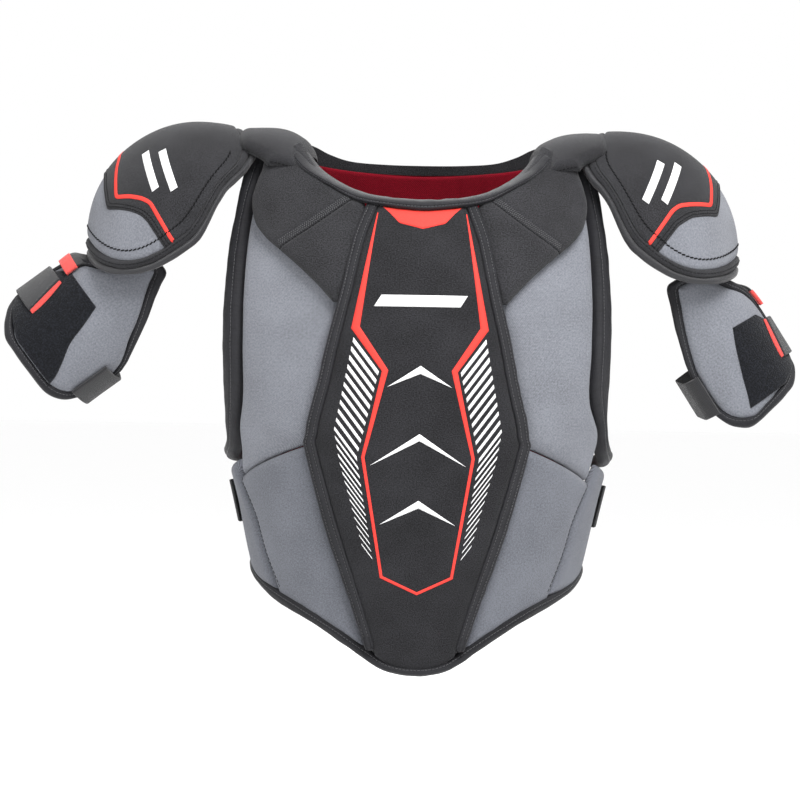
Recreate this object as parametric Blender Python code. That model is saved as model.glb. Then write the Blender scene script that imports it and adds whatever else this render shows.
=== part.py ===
"""Hockey shoulder pads: a front vest, a back vest, two shoulder caps and two upper-arm guards.

Metres, +Z up.  The wearer faces -Y, so the wearer's right side is at -X.  The origin lies
midway between the two shoulder rests, where the pads sit on the wearer's shoulders.

Every piece is a slab on one of four curved surfaces: the torso, the shoulder arch, a
shoulder cap or an upper-arm tube.  A layer is the distance outward from such a surface.
"""

import math

import bmesh
import bpy
from mathutils import Vector

# ---------------------------------------------------------------- driving dimensions

GAP = 0.0004                       # clearance between pieces that lie on each other
FACE_LAYER = 0.012                 # outer face of the vest's base padding
SIDE_STRETCH = {-1: 1.02, 1: 0.98}  # the worn vest hangs a little to the wearer's right

# Torso: half width, and depth in front of and behind the side line, at each height.
HALF_WIDTH = [(-0.47, 0.122), (-0.40, 0.131), (-0.33, 0.146), (-0.27, 0.161),
              (-0.24, 0.172), (-0.18, 0.181), (-0.10, 0.180), (0.0, 0.176), (0.03, 0.172)]
FRONT_DEPTH = [(-0.47, 0.092), (-0.40, 0.099), (-0.30, 0.109), (-0.20, 0.112),
               (-0.12, 0.103), (-0.06, 0.078), (0.0, 0.042), (0.03, 0.026)]
BACK_DEPTH = [(-0.47, 0.084), (-0.40, 0.090), (-0.30, 0.102), (-0.20, 0.110),
              (-0.12, 0.103), (-0.06, 0.088), (0.0, 0.060), (0.03, 0.046)]

# Shoulder arch, seen from the side.
ARCH_DEPTH = 0.048                 # half length from front to back
ARCH_RISE = 0.022
REST_THICKNESS = 0.003
REST_HALF = (0.017, 0.020)         # shoulder rest half sizes along X and Y
YOKE_INNER_X = 0.114
YOKE_OUTER_X = 0.150

# Layers of the vest, inner to outer.
LINER = (0.0, 0.0022)
BASE_PAD = (0.0032, 0.0116)
TAPE = (0.0, 0.0135)               # satin tape that wraps the vest's edges
INSERT = (0.0129, 0.0148)
PLATE_COVER = (0.0156, 0.0205)
PLATE_TAPE = (0.0124, 0.0210)
CLAVICLE_PAD = (0.0141, 0.0235)
NECK_TAPE = (0.0, 0.0150)
SIDE_STRAP = (0.0141, 0.0165)
SIDE_STRAP_TURNS = (93, 130)       # degrees from the front centre
SIDE_STRAP_HEIGHT = -0.315

# Shoulder caps: thickness split from the outside inwards.
CAP_TAPE = (-0.0125, 0.0012)
CAP_COVER = (-0.0062, 0.0)
CAP_SHELL = (-0.0090, -0.0066)
CAP_LINER = (-0.0121, -0.0094)
CAP_TAPE_WIDTH = 0.009
CAP_DEPTH = 0.078                  # half size from front to back
CAP_DEPTH_CENTRE = 0.010
CAP_DEPTH_REACH = 0.122

# Upper-arm guards.
GUARD_PAD = (-0.0062, 0.0)
GUARD_INSERT = (-0.0084, -0.0066)
GUARD_LINER = (-0.0114, -0.0088)
GUARD_TAPE = (-0.0118, 0.0010)
GUARD_TAPE_WIDTH = 0.009
GUARD_SEAM = 0.0018                # room between the tape and the pad inside it
GUARD_PATCH = (0.0014, 0.0022)
STRAP_LAYER = (0.0027, 0.0048)
STRAP_WIDTH = 0.038
STRAP_FOLD_TURN = -10              # where the strap's free end begins
GUARD_FLATTEN = 0.78               # the tube's depth over its width
ADJUSTER_WIDTH = 0.024
ADJUSTER_THICKNESS = 0.0016
# The webbing's way from under the cap to the guard: along the arm, out from its axis.
ADJUSTER_PATH = [(-0.058, 0.0350), (-0.046, 0.0362), (-0.035, 0.0395), (-0.024, 0.0475),
                 (-0.013, 0.0590), (-0.006, 0.0615)]

# Each arm hangs at its own angle.  centre and guard are (x, z) points on the arm's axis.
ARMS = {
    "right": dict(side=-1, centre=(-0.1979, -0.0793), radius=0.103, cap_tilt=36.9,
                  cap_reach=(-0.0865, 0.0950), cap_half_turn=88.0,
                  guard=(-0.2967, -0.1539), guard_tilt=36.9, guard_radius=0.0555,
                  guard_turn=0.0,
                  guard_upper=[(-0.082, 64), (-0.064, 66), (-0.040, 66), (-0.027, 46),
                               (-0.012, 18), (0.004, 2), (0.022, -4), (0.040, 3), (0.057, 30),
                               (0.070, 55)],
                  guard_lower=[(-0.082, 102), (-0.066, 110), (-0.041, 130), (-0.020, 145),
                               (0.000, 166), (0.018, 176), (0.036, 172), (0.050, 160),
                               (0.062, 148), (0.070, 129)],
                  pile_upper=[(-0.011, 43), (0.006, 27), (0.024, 23), (0.040, 31), (0.050, 50),
                              (0.056, 68)],
                  pile_lower=[(-0.012, 82), (0.006, 90), (0.024, 96), (0.040, 106),
                              (0.050, 112), (0.056, 114)]),
    "left": dict(side=1, centre=(0.1764, -0.0866), radius=0.108, cap_tilt=38.5,
                 cap_reach=(-0.0805, 0.0965), cap_half_turn=80.0,
                 guard=(0.2640, -0.1716), guard_tilt=57.3, guard_radius=0.0545,
                 guard_turn=-20.0,
                 guard_upper=[(-0.072, 84), (-0.054, 84), (-0.034, 80), (-0.020, 58),
                              (-0.008, 38), (0.006, 24), (0.022, 18), (0.038, 20), (0.052, 34),
                              (0.064, 56)],
                 guard_lower=[(-0.072, 120), (-0.056, 124), (-0.034, 130), (-0.014, 137),
                              (0.008, 143), (0.028, 145), (0.046, 145), (0.060, 141),
                              (0.070, 134), (0.076, 122)],
                 pile_upper=[(-0.006, 58), (0.006, 42), (0.022, 34), (0.036, 36), (0.047, 50),
                             (0.054, 70)],
                 pile_lower=[(-0.007, 84), (0.006, 90), (0.022, 96), (0.036, 101),
                             (0.048, 105), (0.058, 109)]),
}

# ---------------------------------------------------------------- outlines
# (x, z) on the wearer's left half, or ("turn", degrees from the front centre, z).

NECK_TOP = [(0.105, -0.003), (0.092, -0.0165), (0.068, -0.0346), (0.038, -0.0485), (0.0, -0.0545)]
NECK_BOTTOM = [(0.109, -0.0163), (0.0905, -0.035), (0.068, -0.0510), (0.042, -0.0575),
               (0.0, -0.0615)]
ARMHOLE_OUTER = [(0.159, -0.018), (0.164, -0.060), (0.169, -0.092), (0.172, -0.131),
                 (0.173, -0.172), (0.172, -0.200), (0.169, -0.240), ("turn", 77, -0.261),
                 ("turn", 104, -0.268)]
ARMHOLE_INNER = [(0.146, -0.026), (0.1535, -0.063), (0.157, -0.094), (0.159, -0.131),
                 (0.159, -0.173), (0.158, -0.220), ("turn", 66, -0.254), ("turn", 80, -0.275),
                 ("turn", 104, -0.281)]
PLATE_OUTER = [(0.0495, -0.0580), (0.057, -0.080), (0.067, -0.130), (0.0765, -0.170),
               (0.0845, -0.210), (0.0930, -0.250), (0.0925, -0.270), (0.0720, -0.345),
               (0.042, -0.4345)]
PLATE_INNER = [(0.0400, -0.0625), (0.0475, -0.085), (0.0570, -0.130), (0.0662, -0.170),
               (0.0742, -0.210), (0.0828, -0.250), (0.0825, -0.269), (0.0620, -0.342),
               (0.034, -0.4310)]
SIDE_SEAM = [(0.158, -0.2928), (0.144, -0.325), (0.1345, -0.357), (0.1215, -0.3885)]
HEM_OUTER = [(0.0, -0.4605), (0.029, -0.455), (0.061, -0.436), (0.094, -0.4153),
             (0.125, -0.3995), ("turn", 75, -0.388), ("turn", 90, -0.377), ("turn", 107, -0.370)]
HEM_INNER = [(0.0, -0.4522), (0.0215, -0.449), (0.0435, -0.4362), (0.0658, -0.4215),
             (0.098, -0.4020), ("turn", 72, -0.381), ("turn", 90, -0.367), ("turn", 107, -0.360)]
CLAVICLE_OUTER = [(0.123, -0.0163), (0.137, -0.0225), (0.146, -0.034), (0.150, -0.050),
                  (0.1455, -0.068), (0.135, -0.084), (0.1195, -0.0925)]
CLAVICLE_INNER = [(0.1115, -0.0175), (0.101, -0.0275), (0.0925, -0.0375), (0.0815, -0.0465),
                  (0.0730, -0.0515)]
LOWER_CLAVICLE_OUTER = [(0.1180, -0.0950), (0.106, -0.1045), (0.0885, -0.1215),
                        (0.0735, -0.1385)]
LOWER_CLAVICLE_INNER = [(0.0705, -0.0540), (0.0635, -0.0640), (0.0630, -0.084),
                        (0.0665, -0.110), (0.0710, -0.1385)]

# Back outlines: ("back", degrees from the back centre, z).
BACK_OUTER = [("back", 56, -0.035), ("back", 61, -0.06), ("back", 63, -0.12),
              ("back", 63, -0.20), ("back", 62, -0.27), ("back", 58, -0.33),
              ("back", 48, -0.375), ("back", 25, -0.398), ("back", 0, -0.404)]
BACK_INNER = [("back", 51, -0.037), ("back", 56.5, -0.06), ("back", 58.5, -0.12),
              ("back", 58.5, -0.20), ("back", 57, -0.265), ("back", 53.5, -0.322),
              ("back", 44, -0.362), ("back", 24, -0.385), ("back", 0, -0.391)]
COLLAR_TOP = [("back", 0, -0.006), ("back", 12, -0.0045), ("back", 22, -0.001),
              ("back", 29, 0.008), ("back", 34, 0.016)]
COLLAR_BOTTOM = [("back", 0, -0.0300), ("back", 12, -0.0295), ("back", 22, -0.0285),
                 ("back", 30, -0.0265), ("back", 36, -0.0220)]

# ---------------------------------------------------------------- colours

BLACK_FABRIC = ("black_fabric", (0.045, 0.045, 0.050), 0.85, 0.0)
PLATE_BLACK = ("plate_black", (0.026, 0.025, 0.030), 0.70, 0.0)
GREY_FABRIC = ("grey_fabric", (0.205, 0.225, 0.250), 0.80, 0.0)
SATIN_TAPE = ("satin_tape", (0.050, 0.050, 0.056), 0.45, 0.0)
RED_LINING = ("red_lining", (0.240, 0.016, 0.026), 0.80, 0.0)
ELASTIC = ("elastic", (0.035, 0.037, 0.038), 0.75, 0.0)
LOOP_PILE = ("loop_pile", (0.022, 0.023, 0.028), 0.95, 0.0)
PLASTIC = ("plastic", (0.030, 0.030, 0.032), 0.40, 0.0)
FOAM = ("foam", (0.100, 0.100, 0.105), 0.90, 0.0)

# ---------------------------------------------------------------- surfaces


def smooth_table(table, height):
    """Read a (height, value) table along a smooth curve."""
    last = len(table) - 1
    if height <= table[0][0]:
        return table[0][1]
    if height >= table[last][0]:
        return table[last][1]
    slopes = [(table[min(i + 1, last)][1] - table[max(i - 1, 0)][1])
              / (table[min(i + 1, last)][0] - table[max(i - 1, 0)][0]) for i in range(last + 1)]
    i = max(k for k in range(last) if table[k][0] <= height)
    span = table[i + 1][0] - table[i][0]
    f = (height - table[i][0]) / span
    return ((2 * f ** 3 - 3 * f ** 2 + 1) * table[i][1] + (f ** 3 - 2 * f ** 2 + f) * span * slopes[i]
            + (3 * f ** 2 - 2 * f ** 3) * table[i + 1][1] + (f ** 3 - f ** 2) * span * slopes[i + 1])


def torso(turn, height, layer):
    """Point on the torso: turn is the angle from the front centre towards the wearer's left."""
    width = smooth_table(HALF_WIDTH, height) + layer
    depth = smooth_table(FRONT_DEPTH if math.cos(turn) > 0 else BACK_DEPTH, height) + layer
    return Vector((width * math.sin(turn), -depth * math.cos(turn), height))


def arch(side):
    """Surface over one shoulder: across is a distance along X, turn runs from front to back."""
    def point(across, turn, layer):
        return Vector((side * across, (ARCH_DEPTH + layer) * math.sin(turn),
                       (ARCH_RISE + layer) * math.cos(turn) - ARCH_RISE))
    return point


def arm_frame(side, tilt):
    """Directions down the arm and outward-up from it, in the XZ plane."""
    angle = math.radians(tilt)
    down = Vector((side * math.cos(angle), 0, -math.sin(angle)))
    out = Vector((side * math.sin(angle), 0, math.cos(angle)))
    return down, out


def cap_surface(arm):
    """A dome about the shoulder joint: along runs down the arm, turn 0 is outward-up."""
    down, out = arm_frame(arm["side"], arm["cap_tilt"])
    centre = Vector((arm["centre"][0], 0, arm["centre"][1]))

    def point(along, turn, layer):
        reach = math.sqrt(max(arm["radius"] ** 2 - along ** 2, 0.0))
        depth = CAP_DEPTH * math.sqrt(1 - ((along - CAP_DEPTH_CENTRE) / CAP_DEPTH_REACH) ** 2)
        radial = (down * along + out * reach * math.cos(turn)
                  - Vector((0, depth * math.sin(turn), 0)))
        return centre + radial * (1 + layer / arm["radius"])
    return point


def guard_surface(arm):
    """A flattened tube round the upper arm: turn 0 is outward-up and 90 degrees is the front."""
    down, out = arm_frame(arm["side"], arm["guard_tilt"])
    centre = Vector((arm["guard"][0], 0, arm["guard"][1]))

    def point(along, turn, layer):
        turn = turn + math.radians(arm["guard_turn"])
        return (centre + down * along + out * (arm["guard_radius"] + layer) * math.cos(turn)
                - Vector((0, (arm["guard_radius"] * GUARD_FLATTEN + layer) * math.sin(turn), 0)))
    return point


# ---------------------------------------------------------------- outline tools


def curve(points, count):
    """count + 1 points, evenly numbered along a smooth curve through the given points."""
    last = len(points) - 1
    result = []
    for k in range(count + 1):
        position = k * last / count
        i = min(int(position), last - 1)
        f = position - i
        p0, p1, p2, p3 = (points[max(0, min(last, i + j))] for j in (-1, 0, 1, 2))
        result.append(tuple(
            0.5 * (2 * b + (c - a) * f + (2 * a - 5 * b + 4 * c - d) * f ** 2
                   + (3 * b - a - 3 * c + d) * f ** 3) for a, b, c, d in zip(p0, p1, p2, p3)))
    return result


def on_torso(outline, side, face=FACE_LAYER):
    """Turn an outline's points into (turn, height) on one side of the torso."""
    result = []
    for point in outline:
        if point[0] == "turn":
            result.append((side * math.radians(point[1]), point[2]))
        elif point[0] == "back":
            result.append((math.pi - side * math.radians(point[1]), point[2]))
        else:
            x, height = point
            reach = x * SIDE_STRETCH[side] / (smooth_table(HALF_WIDTH, height) + face)
            result.append((side * math.asin(reach), height))
    return result


def shift(outline, dx, dz):
    """Move an outline's (x, z) points."""
    return [(p[0] + dx, p[1] + dz) for p in outline]


def patch(left, right, rows, cols, bow=(0.0, 0.0)):
    """A grid between two edges.  bow bends the first and last rows up or down."""
    left_edge = curve(left, rows)
    right_edge = curve(right, rows)
    grid = []
    for r in range(rows + 1):
        bend = bow[0] * (1 - r / rows) ** 3 + bow[1] * (r / rows) ** 3
        line = []
        for c in range(cols + 1):
            f = c / cols
            a = left_edge[r][0] * (1 - f) + right_edge[r][0] * f
            b = left_edge[r][1] * (1 - f) + right_edge[r][1] * f
            line.append((a, b + bend * (1 - (2 * f - 1) ** 2)))
        grid.append(line)
    return grid


def rounded_patch(reach, half_turn, inset, rows, cols, powers=(2.6, 4.0), inset_turn=0.0):
    """A cap's outline: a superellipse in (along, turn), rounder at its inner end."""
    low, high = reach[0] + inset, reach[1] - inset
    middle, half = (low + high) / 2, (high - low) / 2
    turn_limit = math.radians(half_turn) - inset_turn
    grid = []
    for r in range(rows + 1):
        sweep = math.radians(-78 + 156 * r / rows)
        sigma = math.sin(sweep) / math.sin(math.radians(78)) * 0.97
        power = powers[0] if sigma < 0 else powers[1]
        limit = turn_limit * (1 - abs(sigma) ** power) ** (1 / power)
        grid.append([(middle + half * sigma, limit * (2 * c / cols - 1)) for c in range(cols + 1)])
    return grid


def boundary(grid):
    """The grid's edge points, once round."""
    top = grid[0]
    bottom = grid[-1]
    right = [row[-1] for row in grid[1:-1]]
    left = [row[0] for row in grid[1:-1]]
    return top + right + bottom[::-1] + left[::-1]


# ---------------------------------------------------------------- solids


def paint(obj, look):
    name, colour, roughness, metallic = look
    material = bpy.data.materials.get(name)
    if material is None:
        material = bpy.data.materials.new(name)
        material.use_nodes = True
        shader = material.node_tree.nodes["Principled BSDF"]
        shader.inputs["Base Color"].default_value = (*colour, 1.0)
        shader.inputs["Roughness"].default_value = roughness
        shader.inputs["Metallic"].default_value = metallic
    obj.data.materials.append(material)


def make_object(name, mesh_data, look, pivot):
    """Link a closed bmesh as an object whose origin is its joint's pivot."""
    bmesh.ops.recalc_face_normals(mesh_data, faces=mesh_data.faces)
    bmesh.ops.translate(mesh_data, verts=mesh_data.verts, vec=-Vector(pivot))
    mesh = bpy.data.meshes.new(name)
    mesh_data.to_mesh(mesh)
    mesh_data.free()
    mesh.shade_smooth()
    mesh.set_sharp_from_angle(angle=math.radians(40))
    obj = bpy.data.objects.new(name, mesh)
    obj.location = pivot
    bpy.context.scene.collection.objects.link(obj)
    paint(obj, look)
    return obj


def slab(name, grid, surface, layers, look, pivot=(0, 0, 0), crown=0.0):
    """A closed slab over a grid.  crown pulls the outer face in at the edge, like a pad."""
    mesh_data = bmesh.new()
    rows, cols = len(grid), len(grid[0])
    inner = [[mesh_data.verts.new(surface(a, b, layers[0])) for a, b in line] for line in grid]
    outer = []
    for r, line in enumerate(grid):
        edge_row = r in (0, rows - 1)
        outer.append([])
        for c, (a, b) in enumerate(line):
            at_edge = edge_row or c in (0, cols - 1)
            layer = layers[1] - (layers[1] - layers[0]) * (crown if at_edge else 0.0)
            outer[-1].append(mesh_data.verts.new(surface(a, b, layer)))
    for r in range(rows - 1):
        for c in range(cols - 1):
            mesh_data.faces.new((inner[r][c], inner[r + 1][c], inner[r + 1][c + 1], inner[r][c + 1]))
            mesh_data.faces.new((outer[r][c], outer[r][c + 1], outer[r + 1][c + 1], outer[r + 1][c]))
    inner_rim = boundary(inner)
    outer_rim = boundary(outer)
    for i, vertex in enumerate(inner_rim):
        j = (i + 1) % len(inner_rim)
        mesh_data.faces.new((vertex, inner_rim[j], outer_rim[j], outer_rim[i]))
    return make_object(name, mesh_data, look, pivot)


def edge_ring(name, outside, inside, surface, layers, look, pivot=(0, 0, 0)):
    """A closed tape ring between two matching grids' edges."""
    mesh_data = bmesh.new()
    loops = [[mesh_data.verts.new(surface(a, b, layer)) for a, b in boundary(grid)]
             for grid, layer in ((outside, layers[0]), (outside, layers[1]),
                                 (inside, layers[1]), (inside, layers[0]))]
    count = len(loops[0])
    for k in range(4):
        here, there = loops[k], loops[(k + 1) % 4]
        for i in range(count):
            j = (i + 1) % count
            mesh_data.faces.new((here[i], here[j], there[j], there[i]))
    return make_object(name, mesh_data, look, pivot)


def ribbon(name, path, half_width, thickness, surface, look, pivot):
    """A flat band that follows a path of (along, out) points."""
    mesh_data = bmesh.new()
    sections = []
    for along, out in path:
        corners = ((-half_width, out), (half_width, out), (half_width, out + thickness),
                   (-half_width, out + thickness))
        sections.append([mesh_data.verts.new(surface(across, along, layer))
                         for across, layer in corners])
    for here, there in zip(sections, sections[1:]):
        for k in range(4):
            mesh_data.faces.new((here[k], here[(k + 1) % 4], there[(k + 1) % 4], there[k]))
    mesh_data.faces.new(sections[0])
    mesh_data.faces.new(sections[-1])
    return make_object(name, mesh_data, look, pivot)


def box(name, low, high, look, pivot=(0, 0, 0)):
    mesh_data = bmesh.new()
    bmesh.ops.create_cube(mesh_data, size=1.0)
    low, high = Vector(low), Vector(high)
    for vertex in mesh_data.verts:
        vertex.co = Vector(low[k] + (vertex.co[k] + 0.5) * (high[k] - low[k]) for k in range(3))
    return make_object(name, mesh_data, look, pivot)


# ---------------------------------------------------------------- joint positions

FRONT_HINGE = (0.0, -0.040, -0.014)   # both yokes' front ends, axis along X


def side_strap_hinge(side):
    """Where a side strap is sewn to the back."""
    return torso(side * math.radians(SIDE_STRAP_TURNS[1]), SIDE_STRAP_HEIGHT, FACE_LAYER)


def cap_hinge(arm):
    """Where the cap hangs from the yoke, axis along Y."""
    return (arm["side"] * 0.156, 0.0, 0.004)


def guard_hinge(arm):
    """Top of the guard's tongue under the cap, axis along Y."""
    down, _ = arm_frame(arm["side"], arm["guard_tilt"])
    point = Vector((arm["guard"][0], 0, arm["guard"][1])) - down * 0.080
    return (point.x, 0.0, point.z)


# ---------------------------------------------------------------- vest


def front_vest():
    both = {side: {} for side in (-1, 1)}
    for side in (-1, 1):
        for key, outline in (("armhole_outer", ARMHOLE_OUTER), ("armhole_inner", ARMHOLE_INNER),
                             ("plate_outer", PLATE_OUTER), ("plate_inner", PLATE_INNER)):
            both[side][key] = on_torso(outline, side)

    liner_edge = [(0.128, -0.030), (0.150, -0.075), (0.154, -0.130), (0.154, -0.200),
                  (0.150, -0.270), (0.132, -0.335), (0.116, -0.384)]
    slab("front_liner", patch(on_torso(liner_edge, -1), on_torso(liner_edge, 1), 10, 10,
                              bow=(-0.036, -0.046)), torso, LINER, RED_LINING, FRONT_HINGE)
    slab("sternum_foam", patch(on_torso(shift(PLATE_OUTER[:1], -0.001, -0.0035)
                                        + shift(PLATE_OUTER[1:], -0.001, 0.0), -1),
                               on_torso(shift(PLATE_OUTER[:1], -0.001, -0.0035)
                                        + shift(PLATE_OUTER[1:], -0.001, 0.0), 1), 12, 6,
                               bow=(-0.003, -0.0145)), torso, BASE_PAD, FOAM, FRONT_HINGE)
    outer = patch(both[-1]["plate_outer"], both[1]["plate_outer"], 14, 6, bow=(-0.006, -0.0160))
    inner = patch(both[-1]["plate_inner"], both[1]["plate_inner"], 14, 6, bow=(-0.004, -0.0140))
    edge_ring("sternum_plate_binding", outer, inner, torso, PLATE_TAPE, SATIN_TAPE, FRONT_HINGE)
    cover_edge = shift(PLATE_INNER, -GAP * 1.5, 0.0)
    cover_edge[0] = (cover_edge[0][0], PLATE_INNER[0][1] - 0.0008)
    cover_edge[-1] = (cover_edge[-1][0], PLATE_INNER[-1][1] + 0.0008)
    slab("sternum_plate_cover", patch(on_torso(cover_edge, -1), on_torso(cover_edge, 1), 14, 6,
                                      bow=(-0.004, -0.0140)), torso, PLATE_COVER, PLATE_BLACK,
         FRONT_HINGE, crown=0.25)
    insert_edge = shift(PLATE_INNER[1:-1], -0.006, 0.0) + [(0.030, -0.418)]
    slab("sternum_plate_insert", patch(on_torso(insert_edge, -1), on_torso(insert_edge, 1), 12, 6,
                                       bow=(-0.004, -0.010)), torso, INSERT, PLASTIC, FRONT_HINGE)
    neck_top = on_torso(NECK_TOP, -1) + on_torso(NECK_TOP[:-1], 1)[::-1]
    neck_bottom = on_torso(NECK_BOTTOM, -1) + on_torso(NECK_BOTTOM[:-1], 1)[::-1]
    slab("front_neck_binding", patch(neck_top, neck_bottom, 16, 1), torso, NECK_TAPE, SATIN_TAPE,
         FRONT_HINGE)
    hem_outer = on_torso(HEM_OUTER[1:], -1)[::-1] + on_torso(HEM_OUTER, 1)
    hem_inner = on_torso(HEM_INNER[1:], -1)[::-1] + on_torso(HEM_INNER, 1)
    slab("front_hem_binding", patch(hem_outer, hem_inner, 28, 1), torso, TAPE, SATIN_TAPE,
         FRONT_HINGE)

    for name, side in (("right", -1), ("left", 1)):
        front_side(name, side, both[side])


def front_side(name, side, edges):
    """Pads and tape on one half of the front."""
    step = 0.0005
    slab(f"{name}_armhole_binding", patch(edges["armhole_outer"], edges["armhole_inner"], 16, 1),
         torso, TAPE, SATIN_TAPE, FRONT_HINGE)
    chest_in = shift(PLATE_OUTER[:6], step, 0.0) + [(0.0945, -0.2600)]
    chest_in[0] = (0.0555, -0.0600)
    chest_out = shift(ARMHOLE_INNER[:6], -0.0025, 0.0) + [("turn", 64.5, -0.257), (0.1555, -0.2898)]
    chest_out[0] = (0.140, -0.030)
    slab(f"{name}_chest_pad", patch(on_torso(chest_in, side), on_torso(chest_out, side), 12, 6,
                                    bow=(0.006, 0.0)), torso, BASE_PAD, GREY_FABRIC, FRONT_HINGE,
         crown=0.15)
    belly_in = [(0.0945, -0.2618), (0.0925, -0.272), (0.0728, -0.345), (0.0445, -0.4325)]
    slab(f"{name}_belly_pad", patch(on_torso(belly_in, side),
                                    on_torso(shift(SIDE_SEAM, -step, -0.0003), side), 10, 6,
                                    bow=(0.0, 0.004)), torso, BASE_PAD, GREY_FABRIC, FRONT_HINGE,
         crown=0.15)
    wing_front = [("turn", 72, -0.2765)] + on_seam(shift(SIDE_SEAM, step, 0.0))
    wing_back = [("turn", 106, -0.2835), ("turn", 106, -0.310), ("turn", 106, -0.335),
                 ("turn", 106, -0.3585)]
    slab(f"{name}_side_wing", patch(on_torso(wing_front, side), on_torso(wing_back, side), 8, 6,
                                    bow=(-0.002, 0.004)), torso, BASE_PAD, GREY_FABRIC,
         FRONT_HINGE, crown=0.15)
    slab(f"{name}_upper_clavicle_pad", patch(on_torso(CLAVICLE_INNER, side),
                                             on_torso(CLAVICLE_OUTER, side), 8, 6), torso,
         CLAVICLE_PAD, BLACK_FABRIC, FRONT_HINGE, crown=0.45)
    slab(f"{name}_lower_clavicle_pad", patch(on_torso(LOWER_CLAVICLE_INNER, side),
                                             on_torso(LOWER_CLAVICLE_OUTER, side), 8, 4), torso,
         CLAVICLE_PAD, BLACK_FABRIC, FRONT_HINGE, crown=0.45)


def on_seam(points):
    """Keep the seam's last point above the hem."""
    return points[:-1] + [(points[-1][0], points[-1][1] + 0.0010)]


def shoulder_top(name, side):
    """Rest pad, yoke and bridging pad over one shoulder."""
    middle = (YOKE_INNER_X + YOKE_OUTER_X) / 2
    low = (min(side * (middle - REST_HALF[0]), side * (middle + REST_HALF[0])), -REST_HALF[1], 0.0)
    high = (max(side * (middle - REST_HALF[0]), side * (middle + REST_HALF[0])), REST_HALF[1],
            REST_THICKNESS)
    box(f"{name}_shoulder_rest", low, high, FOAM)

    yoke = patch([(YOKE_INNER_X, math.radians(-62)), (YOKE_INNER_X, 0.0),
                  (YOKE_INNER_X, math.radians(62))],
                 [(YOKE_OUTER_X - 0.012, math.radians(-62)), (YOKE_OUTER_X, 0.0),
                  (YOKE_OUTER_X - 0.012, math.radians(62))], 10, 3)
    slab(f"{name}_yoke", yoke, arch(side), (0.0056, 0.0080), PLASTIC)
    pad = patch([(0.112, math.radians(-66)), (0.105, math.radians(-30)), (0.104, 0.0),
                 (0.105, math.radians(30)), (0.110, math.radians(66))],
                [(0.134, math.radians(-66)), (0.146, math.radians(-36)), (0.152, 0.0),
                 (0.146, math.radians(36)), (0.134, math.radians(66))], 10, 6)
    slab(f"{name}_bridging_pad", pad, arch(side), (0.0084, 0.0190), BLACK_FABRIC, crown=0.45)


def back_vest():
    outer = on_torso(BACK_OUTER, -1) + on_torso(BACK_OUTER[:-1], 1)[::-1]
    inner = on_torso(BACK_INNER, -1) + on_torso(BACK_INNER[:-1], 1)[::-1]
    slab("back_edge_binding", patch(outer, inner, 32, 1), torso, TAPE, SATIN_TAPE)
    collar_top = on_torso(COLLAR_TOP[1:], -1)[::-1] + on_torso(COLLAR_TOP, 1)
    collar_bottom = on_torso(COLLAR_BOTTOM[1:], -1)[::-1] + on_torso(COLLAR_BOTTOM, 1)
    slab("back_collar", patch(collar_top, collar_bottom, 16, 2), torso, (0.0, 0.013), BLACK_FABRIC,
         crown=0.2)

    def panel(name, edge, rows, cols, layers, look, bow=(0.0, 0.0), crown=0.0):
        slab(name, patch(on_torso(edge, -1), on_torso(edge, 1), rows, cols, bow), torso, layers,
             look, crown=crown)

    body_edge = [("back", 46, -0.026), ("back", 54, -0.06), ("back", 57.5, -0.12),
                 ("back", 57.5, -0.20), ("back", 56, -0.265), ("back", 52.5, -0.320),
                 ("back", 42, -0.360)]
    panel("back_liner", body_edge, 10, 10, LINER, RED_LINING, (-0.0065, -0.026))
    panel("back_foam", body_edge, 10, 10, BASE_PAD, GREY_FABRIC, (-0.0065, -0.026), 0.15)
    spine_edge = [("back", 10, -0.050), ("back", 13, -0.10), ("back", 14, -0.20),
                  ("back", 12, -0.30), ("back", 9, -0.350)]
    insert_edge = [("back", 7, -0.060), ("back", 10, -0.10), ("back", 11, -0.20),
                   ("back", 9, -0.29), ("back", 6, -0.335)]
    panel("spine_insert", insert_edge, 8, 4, INSERT, PLASTIC)
    panel("spine_pad_cover", spine_edge, 12, 6, (0.0156, 0.0225), PLATE_BLACK, (0.0, -0.004), 0.4)
    for name, side in (("right", -1), ("left", 1)):
        inner_edge = [("back", 14, -0.052), ("back", 17, -0.10), ("back", 18, -0.18),
                      ("back", 17, -0.235)]
        outer_edge = [("back", 48, -0.040), ("back", 54, -0.09), ("back", 54, -0.16),
                      ("back", 46, -0.215)]
        slab(f"{name}_shoulder_blade_pad", patch(on_torso(inner_edge, side),
                                                 on_torso(outer_edge, side), 8, 6), torso,
             (FACE_LAYER + GAP, 0.0205), BLACK_FABRIC, crown=0.45)


def side_strap(name, side):
    """Elastic strap sewn to the back that closes over the side wing."""
    pivot = side_strap_hinge(side)

    cols = 10
    turns = [side * math.radians(SIDE_STRAP_TURNS[0] + (SIDE_STRAP_TURNS[1] - SIDE_STRAP_TURNS[0])
                                 * k / cols) for k in range(cols + 1)]
    grid = [[(turn, SIDE_STRAP_HEIGHT + dz) for turn in turns]
            for dz in (-STRAP_WIDTH / 2, 0.0, STRAP_WIDTH / 2)]
    slab(f"{name}_side_strap", grid, torso, SIDE_STRAP, ELASTIC, pivot)


# ---------------------------------------------------------------- arms


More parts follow.
